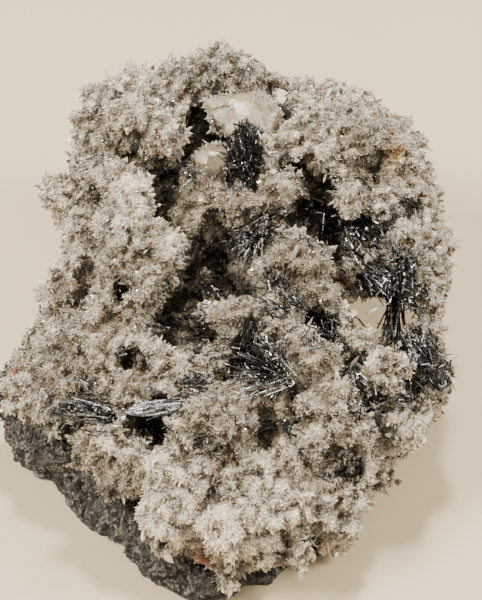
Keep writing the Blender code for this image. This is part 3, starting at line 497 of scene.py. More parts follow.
def joined(parts):
    """One set of corners and triangles from several."""
    corners, faces, start = [], [], 0
    for part_corners, part_faces in parts:
        corners.append(part_corners)
        faces.append(part_faces + start)
        start += len(part_corners)
    return np.concatenate(corners), np.concatenate(faces)


def columns(rows):
    """The columns of a list of rows, each as an array."""
    return [np.array(column) for column in zip(*rows)]


# Crystals: each of these takes arrays, one row for each crystal


def repeated(corners, pattern):
    """All the crystals' corners in one list, and the pattern of triangles on each."""
    starts = np.arange(len(corners))[:, None, None] * corners.shape[1]
    return corners.reshape(-1, 3), (np.array(pattern)[None, :, :] + starts).reshape(-1, 3)


def pointed_prisms(base, axis, length, width, flatness, sides, rng, shoulder=(0.55, 0.85)):
    """Pointed prisms: a lower ring, an upper ring at the shoulder and a tip."""
    one, two = across_axes(axis, rng)
    lift = rng.uniform(*shoulder, len(base))
    shift = rng.uniform(-0.3, 0.3, len(base))
    depth = width * flatness
    corners = np.zeros((len(base), 2 * sides + 1, 3))
    top = base + axis * (length * lift)[:, None]
    for i in range(sides):
        angle = 2 * math.pi * (i + 0.5) / sides
        ring = (one * (math.cos(angle) * width / 2)[:, None]
                + two * (math.sin(angle) * depth / 2)[:, None])
        corners[:, i] = base + ring
        corners[:, sides + i] = top + ring * 0.92
    corners[:, 2 * sides] = base + axis * length[:, None] + one * (shift * width)[:, None]
    faces = [(0, i + 1, i) for i in range(1, sides - 1)]
    for i in range(sides):
        j = (i + 1) % sides
        faces += [(i, j, sides + j), (i, sides + j, sides + i), (sides + i, sides + j, 2 * sides)]
    return repeated(corners, faces)


def low_points(base, axis, length, width, rng):
    """Three-sided pyramids, the tips of buried crystals."""
    one, two = across_axes(axis, rng)
    corners = np.zeros((len(base), 4, 3))
    for i in range(3):
        angle = 2 * math.pi * i / 3
        corners[:, i] = base + (one * math.cos(angle) + two * math.sin(angle)) * (
            width * rng.uniform(0.38, 0.62, len(base)))[:, None]
    corners[:, 3] = base + axis * length[:, None]
    return repeated(corners, [(0, 1, 3), (1, 2, 3), (2, 0, 3), (0, 2, 1)])


def stubby_grains(base, axis, length, width, flatness, rng):
    """Double-ended crystals with eight faces each."""
    one, two = across_axes(axis, rng)
    middle = base + axis * (length * rng.uniform(0.45, 0.8, len(base)))[:, None]
    corners = np.zeros((len(base), GRAIN_CORNERS, 3))
    for i, side in enumerate((one, two, -one, -two)):
        half = width / 2 if i % 2 == 0 else width * flatness / 2
        corners[:, i] = middle + side * half[:, None]
    corners[:, 4] = base - axis * (0.2 * length)[:, None]
    corners[:, 5] = base + axis * length[:, None]
    return repeated(corners, [face for i in range(4) for j in [(i + 1) % 4]
                              for face in ((i, j, 5), (j, i, 4))])


# Ground surfaces


def copy_of(node, name):
    """A copy of the CAD node's shape, with its shared corners merged."""
    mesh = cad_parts[node].data.copy()
    mesh.name = name
    mesh.materials.clear()
    for layer in list(mesh.uv_layers):
        mesh.uv_layers.remove(layer)
    item = new_object(name, mesh)
    shape = bmesh.new()
    shape.from_mesh(mesh)
    bmesh.ops.remove_doubles(shape, verts=shape.verts, dist=0.00001)
    shape.to_mesh(mesh)
    shape.free()
    return item


def bake(item):
    """Applies the object's modifiers to its mesh, which takes the object's name."""
    bpy.context.view_layer.update()
    graph = bpy.context.evaluated_depsgraph_get()
    mesh = bpy.data.meshes.new_from_object(item.evaluated_get(graph))
    before = item.data
    item.modifiers.clear()
    item.data = mesh
    bpy.data.meshes.remove(before)
    mesh.name = item.name


def even_surface(item, grid):
    """Rebuilds the object's surface from small, even faces."""
    step = item.modifiers.new("even", "REMESH")
    step.mode = "VOXEL"
    step.voxel_size = grid
    bake(item)


def relax(item, rounds):
    """Smooths the surface a little."""
    step = item.modifiers.new("relax", "SMOOTH")
    step.factor = 0.5
    step.iterations = rounds
    bake(item)


def place_corners(mesh, corners):
    """Moves the mesh's corners to places in millimetres."""
    mesh.vertices.foreach_set("co", (corners * MM).astype(np.float32).ravel())
    mesh.update()


def smoothed(corners, faces, rounds):
    """The corners after each has moved half-way to its neighbours' middle, so many times."""
    edges = np.concatenate([faces[:, [0, 1]], faces[:, [1, 2]], faces[:, [2, 0]]])
    count = len(corners)
    shared = np.bincount(edges.ravel(), minlength=count)[:, None]
    for _ in range(rounds):
        total = np.stack([np.bincount(edges[:, 0], corners[edges[:, 1], i], count)
                          + np.bincount(edges[:, 1], corners[edges[:, 0], i], count)
                          for i in range(3)], axis=1)
        corners = (corners + total / shared) / 2
    return corners


def openness(points, normals, tree, rng, rays=14, reach=9.0):
    """How much of the space over each point is free, from 0 in a deep hollow to 1."""
    free = np.zeros(len(points))
    for i, (point, normal) in enumerate(zip(points.tolist(), normals.tolist())):
        start = Vector(point) + Vector(normal) * 0.6
        way = Vector(normal)
        hits = 0.0
        for turn in rng.normal(0.0, 0.75, (rays, 3)).tolist():
            hit = tree.ray_cast(start, (way + Vector(turn)).normalized(), reach)
            if hit[0] is None:
                hits += 1.0
            else:
                hits += 0.5 * hit[3] / reach
        free[i] = hits / rays
    return free


def zone_mask(points, zones, tree):
    """How strongly each point lies in any of the zones that the viewer sees."""
    mask = np.zeros(len(points))
    for across, up, radius, strength in zones:
        hit = tree.ray_cast(EYE, sight_line(across, up))[0]
        if hit is None:
            continue
        distance = np.linalg.norm(points - np.array(hit), axis=1) / radius
        mask = np.maximum(mask, strength * np.clip(ZONE_EDGE - distance, 0, 1))
    return mask


class Ground:
    """The crust's ground surface, and what the pieces that grow on it need to know."""

    item = None
    tree = None
    corners = None
    normals = None
    faces = None
    masks = {}
    calcites = []


GROUND = Ground()


def read_ground(item, rng):
    """Keeps the surface's arrays and the masks that colour it and its crystals."""
    GROUND.item = item
    mesh = item.data
    GROUND.corners = positions(mesh)
    GROUND.normals = corner_normals(mesh)
    GROUND.faces = triangles(mesh)
    GROUND.tree = tree_of(mesh)
    sample = rng.permutation(len(GROUND.corners))[:OPENNESS_SAMPLES]
    free = openness(GROUND.corners[sample], GROUND.normals[sample], GROUND.tree, rng)
    from_sample = nearest_values(GROUND.corners[sample], free, GROUND.corners)
    # Dips and tops of the lumps: the colours take painted shade from the dips and painted light
    # from the tops.
    dip = np.zeros(len(GROUND.corners))
    for rounds, depth in ((10, 0.35), (70, 1.3)):
        middle = smoothed(GROUND.corners, GROUND.faces, rounds)
        dip += 0.5 * ((middle - GROUND.corners) * GROUND.normals).sum(1) / depth
    GROUND.masks["dip"] = np.clip(dip, 0, 1)
    GROUND.masks["top"] = np.clip(-dip, 0, 1)
    # How open each point is to the room; the ground's colour takes painted shade from it.
    GROUND.masks["hollow"] = np.clip((0.66 - from_sample) / 0.45, 0, 1)
    for label, zones in ZONES.items():
        GROUND.masks[label] = zone_mask(GROUND.corners, zones, GROUND.tree)
    keep_masks(mesh, GROUND.masks)


def nearest_values(known, values, wanted, neighbours=4):
    """Values at the wanted points, averaged from the nearest known points."""
    tree = KDTree(len(known))
    for i, point in enumerate(known.tolist()):
        tree.insert(point, i)
    tree.balance()
    found = np.zeros(len(wanted))
    for i, point in enumerate(wanted.tolist()):
        near = tree.find_n(point, neighbours)
        found[i] = sum(values[n[1]] for n in near) / neighbours
    return found


def scatter(corners, faces, normals, density, rng):
    """Points spread over triangles: place, normal, and the corner that each lies by."""
    a, b, c = (corners[faces[:, i]] for i in range(3))
    area = np.linalg.norm(np.cross(b - a, c - a), axis=1) / 2
    steps = np.cumsum(area * density)
    count = int(steps[-1])
    at = (np.arange(count) + rng.uniform(0, 1, count)) * steps[-1] / count
    chosen = np.minimum(np.searchsorted(steps, at), len(faces) - 1)
    u = rng.uniform(0, 1, (count, 2))
    flip = u.sum(1) > 1
    u[flip] = 1 - u[flip]
    w = np.stack([1 - u.sum(1), u[:, 0], u[:, 1]], axis=1)
    tri = faces[chosen]
    point = sum(corners[tri[:, i]] * w[:, i:i + 1] for i in range(3))
    normal = unit(sum(normals[tri[:, i]] * w[:, i:i + 1] for i in range(3)))
    return point, normal, tri[:, 0]


def spread_points(spacing, far_spacing, rng):
    """Points spread over the ground, closer together where the viewer sees them."""
    corners, faces = GROUND.corners, GROUND.faces
    a, b, c = (corners[faces[:, i]] for i in range(3))
    facing = unit(np.cross(b - a, c - a)) @ -np.array(SIGHT)
    near = np.clip((facing + 0.35) / 0.4, 0, 1)
    density = near / spacing**2 + (1 - near) / far_spacing**2
    point, normal, corner = scatter(corners, faces, GROUND.normals, density, rng)
    return point, normal, corner, GROUND.normals[corner] @ -np.array(SIGHT) > -0.15


# Materials


def shader(name):
    """A new material, its node tree and its Principled shader."""
    made = bpy.data.materials.new(name)
    made.use_nodes = True
    tree = made.node_tree
    return made, tree, tree.nodes["Principled BSDF"]


def add(tree, kind, **values):
    """Adds a node and sets its properties."""
    node = tree.nodes.new(kind)
    for key, value in values.items():
        setattr(node, key, value)
    return node


def feed(tree, node, sockets):
    """Links each source into its socket, or sets it where it's a plain value."""
    for socket, source in sockets.items():
        if isinstance(source, bpy.types.NodeSocket):
            tree.links.new(source, node.inputs[socket])
        else:
            node.inputs[socket].default_value = source
    return node.outputs


def place(tree):
    """Where on the object a point lies, for the patterns."""
    return add(tree, "ShaderNodeTexCoord").outputs["Object"]


def own_value(tree):
    """A random value between 0 and 1 for each separate crystal of a mesh."""
    return add(tree, "ShaderNodeNewGeometry").outputs["Random Per Island"]


def grain(tree, where, scale, detail=4.0, rough=0.55, distortion=0.0):
    """Cloudy noise; the scale is in patches for each metre."""
    return feed(tree, add(tree, "ShaderNodeTexNoise"), {
        "Vector": where, "Scale": scale, "Detail": detail, "Roughness": rough,
        "Distortion": distortion})["Fac"]


def cells(tree, where, scale):
    """The outputs of a pattern of cells."""
    return feed(tree, add(tree, "ShaderNodeTexVoronoi"), {"Vector": where, "Scale": scale})


def channels(tree, colour):
    """The colour's red, green and blue."""
    return feed(tree, add(tree, "ShaderNodeSeparateColor"), {0: colour})


def spread(tree, value, low, high, to_low=0.0, to_high=1.0):
    """The value with the stretch from low to high spread over another one."""
    return feed(tree, add(tree, "ShaderNodeMapRange", clamp=True), {
        "Value": value, "From Min": low, "From Max": high, "To Min": to_low,
        "To Max": to_high})["Result"]


def maths(tree, how, one, two):
    """One number worked out from two."""
    return feed(tree, add(tree, "ShaderNodeMath", operation=how), {0: one, 1: two})[0]


def mix(tree, share, one, two, how="MIX"):
    """The first colour with a share of the second in it."""
    one, two = (colour if isinstance(colour, bpy.types.NodeSocket) else (*colour, 1)
                for colour in (one, two))
    return feed(tree, add(tree, "ShaderNodeMix", data_type="RGBA", blend_type=how),
                {0: share, 6: one, 7: two})[2]


def mask(tree, label):
    """The value that the mesh stores under this name for its corners."""
    return add(tree, "ShaderNodeAttribute", attribute_name=label).outputs["Fac"]


def brighten(tree, colour, value):
    """The colour multiplied by a grey value."""
    grey = feed(tree, add(tree, "ShaderNodeCombineColor"), {0: value, 1: value, 2: value})[0]
    return mix(tree, 1.0, colour, grey, "MULTIPLY")


def bump(tree, height, strength, distance):
    """Fine relief, as deep as the distance in metres."""
    return feed(tree, add(tree, "ShaderNodeBump"), {
        "Height": height, "Strength": strength, "Distance": distance})["Normal"]


def druse_colour(tree, looks, crystals):
    """Quartz colour from its zones, its hollows and its own small variation, with painted shade
    and light.
    """
    where = place(tree)

    def over(colour, name, share):
        return mix(tree, share, colour, getattr(looks, name)[:])

    def part(label, *ends):
        return spread(tree, mask(tree, label), *ends)

    colour = over(looks.usual[:], "grey",
                  spread(tree, grain(tree, where, 170.0, 5.0), 0.38, 0.64))
    colour = over(colour, "pale", spread(tree, grain(tree, where, 380.0, 3.0), 0.46, 0.66))
    for zone in ("grey", "pale"):
        colour = over(colour, zone, mask(tree, zone))
    # Painted shade in the dips between the lumps, less in the pale zones, then painted light on
    # the tops of the lumps.
    dips = maths(tree, "MULTIPLY", part("dip", 0.08, 0.9, 0.0, 0.85),
                 part("pale", 0.0, 1.0, 1.0, 0.3))
    colour = over(colour, "dust_and_shade", dips)
    colour = over(colour, "pale", part("top", 0.15, 1.0, 0.0, 0.42))
    colour = over(colour, "dust_and_shade", part("dusty", 0.0, 1.0, 0.0, 0.7))
    speckle = spread(tree, grain(tree, where, 640.0, 2.0), 0.35, 0.6)
    colour = over(colour, "ochre", maths(tree, "MULTIPLY", mask(tree, "ochre"), speckle))
    colour = over(colour, "rocky", part("rocky", 0.0, 0.8, 0.0, 0.9))
    for zone in ("rust", "gold"):
        colour = over(colour, zone, mask(tree, zone))
    colour = over(colour, "ochre", part("gap", 0.0, 1.0, 0.0, 0.8))
    if crystals:
        stained = maths(tree, "MAXIMUM", part("hollow", 0.15, 0.8, 0.0, 0.8),
                        part("dark", 0.0, 0.8, 0.0, 0.7))
        colour = over(colour, "ochre", stained)
        # The dark zones are darkened toward the deep colour, partly as painted shade, and the
        # creases take painted shade.
        colour = over(colour, "deep", part("dark", 0.4, 1.0, 0.0, 0.5))
        colour = over(colour, "dust_and_shade", part("crease", 0.25, 1.0, 0.0, 0.6))
        own = own_value(tree)
        shade = maths(tree, "MULTIPLY", spread(tree, own, 0.0, 1.0, 0.66, 1.22),
                      spread(tree, own, 0.05, 0.09, 0.28, 1.0))
        return brighten(tree, colour, shade)
    facet = channels(tree, cells(tree, where, FACETS_PER_METRE)["Color"])[0]
    colour = brighten(tree, colour, spread(tree, facet, 0.0, 1.0, 0.55, 1.1))
    # Painted shade in the creases between the lumps.
    colour = over(colour, "dust_and_shade", part("crease", 0.0, 0.6, 0.05, 0.75))
    # Painted shade: the ground is darkened in its hollows, creases and small pits, and in the dark
    # zones.
    gloom = part("hollow", 0.2, 1.0, 0.0, 0.6)
    for label, *ends in (("crease", 0.35, 1.0, 0.0, 0.85), ("gap", 0.2, 1.0, 0.0, 0.9),
                         ("dark", 0.0, 1.0, 0.0, 0.75)):
        gloom = maths(tree, "MAXIMUM", gloom, part(label, *ends))
    return over(colour, "deep", gloom)


def quartz_crystals(looks):
    """Small glassy crystals, each a little different from the next."""
    made, tree, body = shader("quartz crystals")
    feed(tree, body, {
        "Base Color": druse_colour(tree, looks, True),
        "Roughness": spread(tree, own_value(tree), 0.0, 0.8, 0.04, 0.34),
        "IOR": QUARTZ_IOR, "Transmission Weight": 0.14})
    return made


def quartz_ground(looks):
    """The quartz between the crystals, with a relief of fine points."""
    made, tree, body = shader("quartz ground")
    where = place(tree)
    distance = cells(tree, where, FACETS_PER_METRE)["Distance"]
    feed(tree, body, {
        "Base Color": druse_colour(tree, looks, False),
        "Roughness": spread(tree, grain(tree, where, 900.0), 0.3, 0.7, 0.15, 0.5),
        "Normal": bump(tree, spread(tree, distance, 0.0, 0.8, 1.0, 0.0), 1.0, 0.00022)})
    return made


def clear_quartz():
    """Larger, clearer crystals with milky veils in them."""
    made, tree, body = shader("clear quartz")
    veil = spread(tree, grain(tree, place(tree), 260.0, 4.0), 0.4, 0.65)
    feed(tree, body, {
        "Base Color": mix(tree, veil, (0.50, 0.44, 0.37), (0.82, 0.77, 0.70)),
        "Roughness": spread(tree, veil, 0.0, 1.0, 0.06, 0.22),
        "IOR": QUARTZ_IOR, "Transmission Weight": 0.55})
    return made


def stibnite_metal(looks, name, shine):
    """Striated lead-grey metal; shine is the share of it that isn't tarnished."""
    made, tree, body = shader(name)
    where = place(tree)
    own = own_value(tree)
    film = spread(tree, grain(tree, where, 420.0, 4.0), 0.36, 0.64)
    share = maths(tree, "MULTIPLY", spread(tree, own, 1 - shine, 1.0), film)
    share = maths(tree, "MAXIMUM", share, spread(tree, own, 1 - shine * 0.4, 1.0, 0.0, 0.9))
    feed(tree, body, {
        "Base Color": mix(tree, share, looks.tarnish[:], looks.metal[:]),
        "Metallic": 1.0,
        "Roughness": spread(tree, grain(tree, where, 1500.0, 2.0), 0.3, 0.7, 0.16, 0.44),
        "Normal": bump(tree, grain(tree, where, 3000.0, 2.0), 0.3, 0.0001)})
    return made


def waxy_calcite(looks):
    """Cloudy, veined calcite with a little light passing under its surface."""
    made, tree, body = shader("waxy calcite")
    where = place(tree)
    cloud = spread(tree, grain(tree, where, 160.0, 5.0, 0.6, 0.6), 0.38, 0.64)
    veins = spread(tree, grain(tree, where, 420.0, 6.0, 0.65, 1.2), 0.50, 0.56, 0.0, 0.5)
    feed(tree, body, {
        "Base Color": mix(tree, veins, mix(tree, cloud, looks.body[:], looks.cloud[:]),
                          tuple(0.62 * c for c in looks.body)),
        "Roughness": spread(tree, cloud, 0.0, 1.0, 0.22, 0.42),
        "IOR": CALCITE_IOR, "Subsurface Weight": 0.35, "Subsurface Scale": 1.0,
        "Subsurface Radius": (0.002, 0.0016, 0.0011),
        "Normal": bump(tree, grain(tree, where, 700.0, 5.0), 0.25, 0.0004)})
    return made


def rough_rock(looks):
    """Dark rock with light and pale grains; its crumbs differ, and are paler by the crust."""
    made, tree, body = shader("rough host rock")
    where = place(tree)
    tone = spread(tree, grain(tree, where, 260.0, 6.0, 0.65), 0.38, 0.62)
    colour = mix(tree, tone, looks.dark[:], tuple(2.6 * c for c in looks.dark))
    split = channels(tree, cells(tree, where, ROCK_GRAINS_PER_METRE)["Color"])
    few = spread(tree, grain(tree, where, 330.0, 3.0), 0.38, 0.56, 0.25, 1.0)
    grains = maths(tree, "MULTIPLY", spread(tree, split[0], 0.3, 0.7), few)
    colour = mix(tree, grains, colour, looks.light[:])
    grains = maths(tree, "MULTIPLY", spread(tree, split[1], 0.72, 0.80), few)
    colour = mix(tree, grains, colour, looks.quartz[:])
    stain = spread(tree, grain(tree, where, 120.0, 4.0, 0.6, 0.8), 0.52, 0.66, 0.0, 0.6)
    colour = mix(tree, stain, colour, looks.brown[:])
    own = own_value(tree)
    crumb = mask(tree, "crumb")
    shade = spread(tree, maths(tree, "MULTIPLY", own, crumb), 0.0, 1.0, 0.75, 1.3)
    pale = maths(tree, "MAXIMUM", spread(tree, own, 0.55, 1.0, 0.0, 0.75),
                 maths(tree, "MULTIPLY", mask(tree, "rim"), spread(tree, own, 0.1, 0.5)))
    feed(tree, body, {
        "Base Color": mix(tree, maths(tree, "MULTIPLY", pale, crumb),
                          brighten(tree, colour, shade), looks.quartz[:]),
        "Roughness": spread(tree, tone, 0.0, 1.0, 0.45, 0.85),
        "Normal": bump(tree, grain(tree, where, 1800.0, 5.0, 0.7), 0.8, 0.0004)})
    return made


def plain_floor(looks):
    """The floor's matt colour, almost even."""
    made, tree, body = shader("plain floor")
    tone = spread(tree, grain(tree, place(tree), 30.0, 3.0), 0.3, 0.7, 0.985, 1.015)
    feed(tree, body, {"Base Color": brighten(tree, looks.floor[:], tone), "Roughness": 0.55})
    return made


def dress(item, look):
    """Gives the piece its material, and lets it ride on the body."""
    item.data.materials.clear()
    item.data.materials.append(look)
    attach(item, BODY)


# Pieces


def grow_ground(looks):
    """The crust's surface, a little inside the solid, with small lumps and sharp creases."""
    item = copy_of("quartz_crust", "crust_ground")
    even_surface(item, looks.ground_grid)
    relax(item, 2)
    corners = positions(item.data)
    normals = corner_normals(item.data)
    broad = np.abs(wave(corners, looks.lump / MM * 2.1, 31.0))
    coarse = np.abs(wave(corners, looks.lump / MM))
    middle = np.abs(wave(corners, looks.lump / MM * 0.45, 7.0))
    fine = wave(corners, 0.9, 15.0)
    push = looks.relief / MM * (1.5 * broad + 2.2 * coarse + 1.1 * middle + 0.3 * fine - 1.0)
    clean = zone_mask(corners, PALE_ZONES, tree_of(item.data))
    gap = np.clip((wave(corners, 1.5, 43.0) - 0.19) * 5, 0, 1) * (1 - 0.85 * clean)
    # The colours darken the creases between the lumps and the small pits as painted shade.
    GROUND.masks = {"crease": np.clip(1 - (coarse * 3.4 + middle * 1.3), 0, 1), "gap": gap}
    corners += normals * (push - 0.7 * gap - looks.inset / MM)[:, None]
    place_corners(item.data, corners)
    item.data.shade_flat()
    return item


def druse_zone(point, near):
    """The name of the patch of druse that a crystal belongs to."""
    x, y = point[:, 0], point[:, 1]
    zone = np.full(len(point), "druse_middle", dtype=object)
    zone[(x >= 8) & (y > -22)] = "druse_east"
    zone[(x < -14) & (y <= 14)] = "druse_west"
    zone[y > 14] = "druse_head"
    zone[y <= -22] = "druse_front"
    zone[(y > 14) & (x > 4)] = "druse_crest"
    zone[~near] = "druse_far_side"
    return zone


def grow_druse(looks, look):
    """Fine quartz crystals over the whole crust, in patches of one mesh each."""
    rng = np.random.default_rng(SEED)
    point, normal, corner, near = spread_points(looks.spacing / MM, looks.far_spacing / MM,
                                                rng)
    hollow, dark, crease, gap, pale = (
        GROUND.masks[label][corner] for label in ("hollow", "dark", "crease", "gap", "pale"))
    count = len(point)
    tuft = wave(point, 1.6, 3.0)
    lean = rng.normal(0, 1, (count, 3))
    axis = unit(normal + unit(lean) * rng.uniform(0.1, 1.15, count)[:, None])
    size = np.exp(rng.normal(0, 0.30, count)) * (1 + 0.35 * tuft)
    size *= (1 - 0.2 * hollow) * (1 - 0.3 * dark) * (1 - 0.3 * crease)
    size *= np.where(rng.uniform(0, 1, count) < LONG_SHARE, LONG_TIMES, 1.0) * (1 - 0.35 * gap)
    size *= 1 + 0.25 * pale
    length = looks.length / MM * np.clip(size, 0.5, 2.3)
    length *= np.where(near, 1.0, FAR_LENGTH_TIMES)
    width = looks.width / MM * np.clip(np.exp(rng.normal(0, 0.28, count)), 0.5, 2.0)
    width *= np.where(near, 0.95, FAR_WIDTH_TIMES)
    base = point - axis * 0.12
    zone = druse_zone(point, near)
    for name in sorted(set(zone)):
        pick = np.flatnonzero(zone == name)
        steps = np.quantile(length[pick], KIND_STEPS)
        kind = np.searchsorted(steps, length[pick], side="right")
        parts, owners = [], []
        for i in range(len(KIND_STEPS) + 1):
            part = pick[kind == i]
            flat = rng.uniform(0.6, 1.0, len(part))
            here = (base[part], axis[part], length[part])
            if i == 0:
                made = low_points(*here, width[part] * 1.9, rng)
            elif i == 1:
                made = stubby_grains(*here, width[part] * 1.35, flat, rng)
            else:
                made = pointed_prisms(*here, width[part], flat, i + 1, rng)
            parts.append(made)
            owners.append(np.repeat(corner[part], len(made[0]) // len(part)))
        owner = np.concatenate(owners)
        masks = {label: values[owner] for label, values in GROUND.masks.items()}
        dress(mesh_object(name, *joined(parts), masks), look)


def heading_axis(normal, heading, lean):
    """A direction that lies on the surface along the heading, raised by the lean."""
    right = Vector((1, 0, 0))
    upward = FACE_NORMAL.cross(right).normalized()
    angle = math.radians(heading)
    flat = right * math.cos(angle) + upward * math.sin(angle)
    flat = (flat - normal * flat.dot(normal)).normalized()
    rise = math.radians(lean)
    return flat * math.cos(rise) + normal * math.sin(rise)


def grow_large_crystals(look):
    """Larger quartz crystals: the listed ones, and some strewn over the crust."""
    rng = np.random.default_rng(SEED + 1)
    rows = []
    for across, up, length, width, heading, lean in LARGE_CRYSTALS:
        hit = GROUND.tree.ray_cast(EYE, sight_line(across, up))
        if hit[0] is None:
            continue
        axis = heading_axis(hit[1], heading, lean)
        rows.append((hit[0] - axis * 0.5, axis, length + 0.5, width))
    point, normal, corner, _ = spread_points(*LARGE_SPACING, rng)
    from_window = np.linalg.norm(layout_of(point) - np.array(WINDOW_PLACE), axis=1)
    lean = unit(rng.normal(0, 1, point.shape)) * rng.uniform(0.3, 1.2, len(point))[:, None]
    axes = unit(normal + lean)
    gloom = np.maximum(GROUND.masks["hollow"], GROUND.masks["dark"])[corner]
    for i in range(len(point)):
        if gloom[i] > 0.5 or from_window[i] < WINDOW_REACH:
            continue
        width = rng.uniform(0.32, 0.52)
        rows.append((point[i] - axes[i] * 0.4, axes[i], width * rng.uniform(2.8, 4.0), width))
    flat = rng.uniform(0.75, 1.0, len(rows))
    crystals = pointed_prisms(*columns(rows), flat, 6, rng)
    dress(mesh_object("clear_quartz_points", *crystals), look)


def blade_section(ribs, thickness, groove):
    """Outline of a ribbed blade, for a width of one; groove is the depth between its ribs."""
    outline = []
    steps = 2 * ribs
    for side in (1, -1):
        for i in range(steps):
            t = i / steps - 0.5
            hump = 1 - (2 * t) ** 2 * 0.75
            ridge = groove if i % 2 else 0.0
            outline.append((side * t, side * thickness * (hump - ridge) / 2 + side * 0.03))
    return outline


def ribbed_blade(start, end, width, broad, ribs, flat, rng):
    """Corners and triangles of one striated blade with a stepped, pointed tip."""
    axis = end - start
    length = np.linalg.norm(axis)
    axis = axis / length
    one = broad - axis * broad.dot(axis)
    one = one / np.linalg.norm(one)
    two = np.cross(axis, one)
    if flat:
        outline = blade_section(ribs, rng.uniform(0.10, 0.18), 0.10)
    else:
        outline = blade_section(ribs, rng.uniform(0.35, 0.55), 0.22)
    count = len(outline)
    stations = [(0.0, 0.85), (0.35, 1.0), (0.72, 0.92), (0.90, 0.55)]
    bend = rng.normal(0, 0.012) * length
    corners = []
    for reach, scale in stations:
        middle = start + axis * length * reach + two * bend * reach * reach
        for u, v in outline:
            ragged = rng.uniform(-0.02, 0.02) * length if reach > 0.6 else 0.0
            corners.append(middle + axis * ragged + (one * u + two * v) * width * scale)
    corners.append(start + axis * length + two * bend + one * rng.uniform(-0.2, 0.2) * width)
    corners.append(start)
    tip = len(corners) - 2
    root = len(corners) - 1
    faces = []
    for level in range(len(stations) - 1):
        for i in range(count):
            j = (i + 1) % count
            low = level * count
            high = low + count
            faces.append((low + i, low + j, high + j))
            faces.append((low + i, high + j, high + i))
    last = (len(stations) - 1) * count
    for i in range(count):
        j = (i + 1) % count
        faces.append((last + i, last + j, tip))
        faces.append((j, i, root))
    return np.array(corners), np.array(faces)


def spray_tips(corners, root):
    """The ends of a solid spray's blades, read from its corners."""
    reach = corners - root
    distance = np.linalg.norm(reach, axis=1)
    order = np.argsort(-distance)
    tips = []
    for i in order:
        if distance[i] < TIP_REACH * distance.max():
            break
        way = reach[i] / distance[i]
        if all(way.dot((tip - root) / np.linalg.norm(tip - root)) < TIP_LIKENESS
               for tip in tips):
            tips.append(corners[i])
    return tips


def grow_spray(name, seen, blades, needles, grains, looks, look, seed):
    """Striated blades, fine needles and a felt of short ones in place of a solid spray."""
    rng = np.random.default_rng(seed)
    bundle = "bundle" in name
    facing = np.array(GLINT_NORMAL if bundle else FACE_NORMAL)
    corners = np.unique(np.round(positions(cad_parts[name].data), 3), axis=0)
    near = np.linalg.norm(layout_of(corners) - np.array(seen), axis=1)
    root = corners[np.argsort(near)[:ROOT_CORNERS]].mean(0)
    tips = spray_tips(corners, root)
    parts = []
    for i in range(blades):
        tip = tips[i % len(tips)]
        reach = rng.uniform(0.92, 1.0) if i < len(tips) else rng.uniform(0.55, 0.95)
        way = (tip - root) * reach + rng.normal(0, 0.3, 3) * (i >= len(tips))
        start = root + rng.normal(0, 0.35, 3) - way * 0.06
        width = looks.blade_width / MM * rng.uniform(0.55, 1.3)
        width *= BUNDLE_BLADE_TIMES if bundle else 1.0
        if bundle and i == 0:
            width = BROADEST_BLADE
        broad = np.cross(way / np.linalg.norm(way), facing)
        broad = broad + rng.normal(0, 0.12 if bundle else 0.6, 3)
        parts.append(ribbed_blade(start, root + way, width, broad, looks.ribs, bundle, rng))
    picks = rng.integers(0, len(tips), (needles, 2))
    share = rng.uniform(0, 1, needles)[:, None]
    tip_array = np.array(tips)
    ends = tip_array[picks[:, 0]] * share + tip_array[picks[:, 1]] * (1 - share)
    ways = (ends - root) * rng.uniform(0.45, 1.0, needles)[:, None]
    ways += rng.normal(0, 0.45, ways.shape)
    base = root + rng.normal(0, 0.5, ways.shape) - ways * 0.05
    felt = needles * (BUNDLE_FELT if bundle else SPRAY_FELT)
    picks = rng.integers(0, len(tips), felt)
    along = tip_array[picks] - root
    start = root + along * rng.uniform(0.0, 0.9, felt)[:, None] + rng.normal(0, 0.5, along.shape)
    turned = unit(unit(along) + rng.normal(0, 0.12 if bundle else 0.8, along.shape))
    short = turned * rng.uniform(0.6, 2.0, felt)[:, None]
    base = np.concatenate([base, start])
    ways = np.concatenate([ways, short])
    count = len(base)
    width = looks.needle_width / MM * rng.uniform(0.6, 1.9, count)
    parts.append(pointed_prisms(base, unit(ways), np.linalg.norm(ways, axis=1), width,
                                rng.uniform(0.4, 0.9, count), 3, rng, (0.86, 0.97)))
    all_corners, faces = joined(parts)
    item = mesh_object(name + "_needles", all_corners, faces)
    dress(item, look)
    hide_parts(name)
    on = root + (tip_array[rng.integers(0, len(tips), grains)] - root) * (
        rng.uniform(0, 1, grains)[:, None] ** 1.6 * 0.75) + rng.normal(0, 0.4, (grains, 3))
    axis = unit(np.array(FACE_NORMAL) + rng.normal(0, 0.5, (grains, 3)))
    return stubby_grains(on, axis, rng.uniform(0.5, 1.2, grains), rng.uniform(0.3, 0.6, grains),
                         rng.uniform(0.6, 1.0, grains), rng)


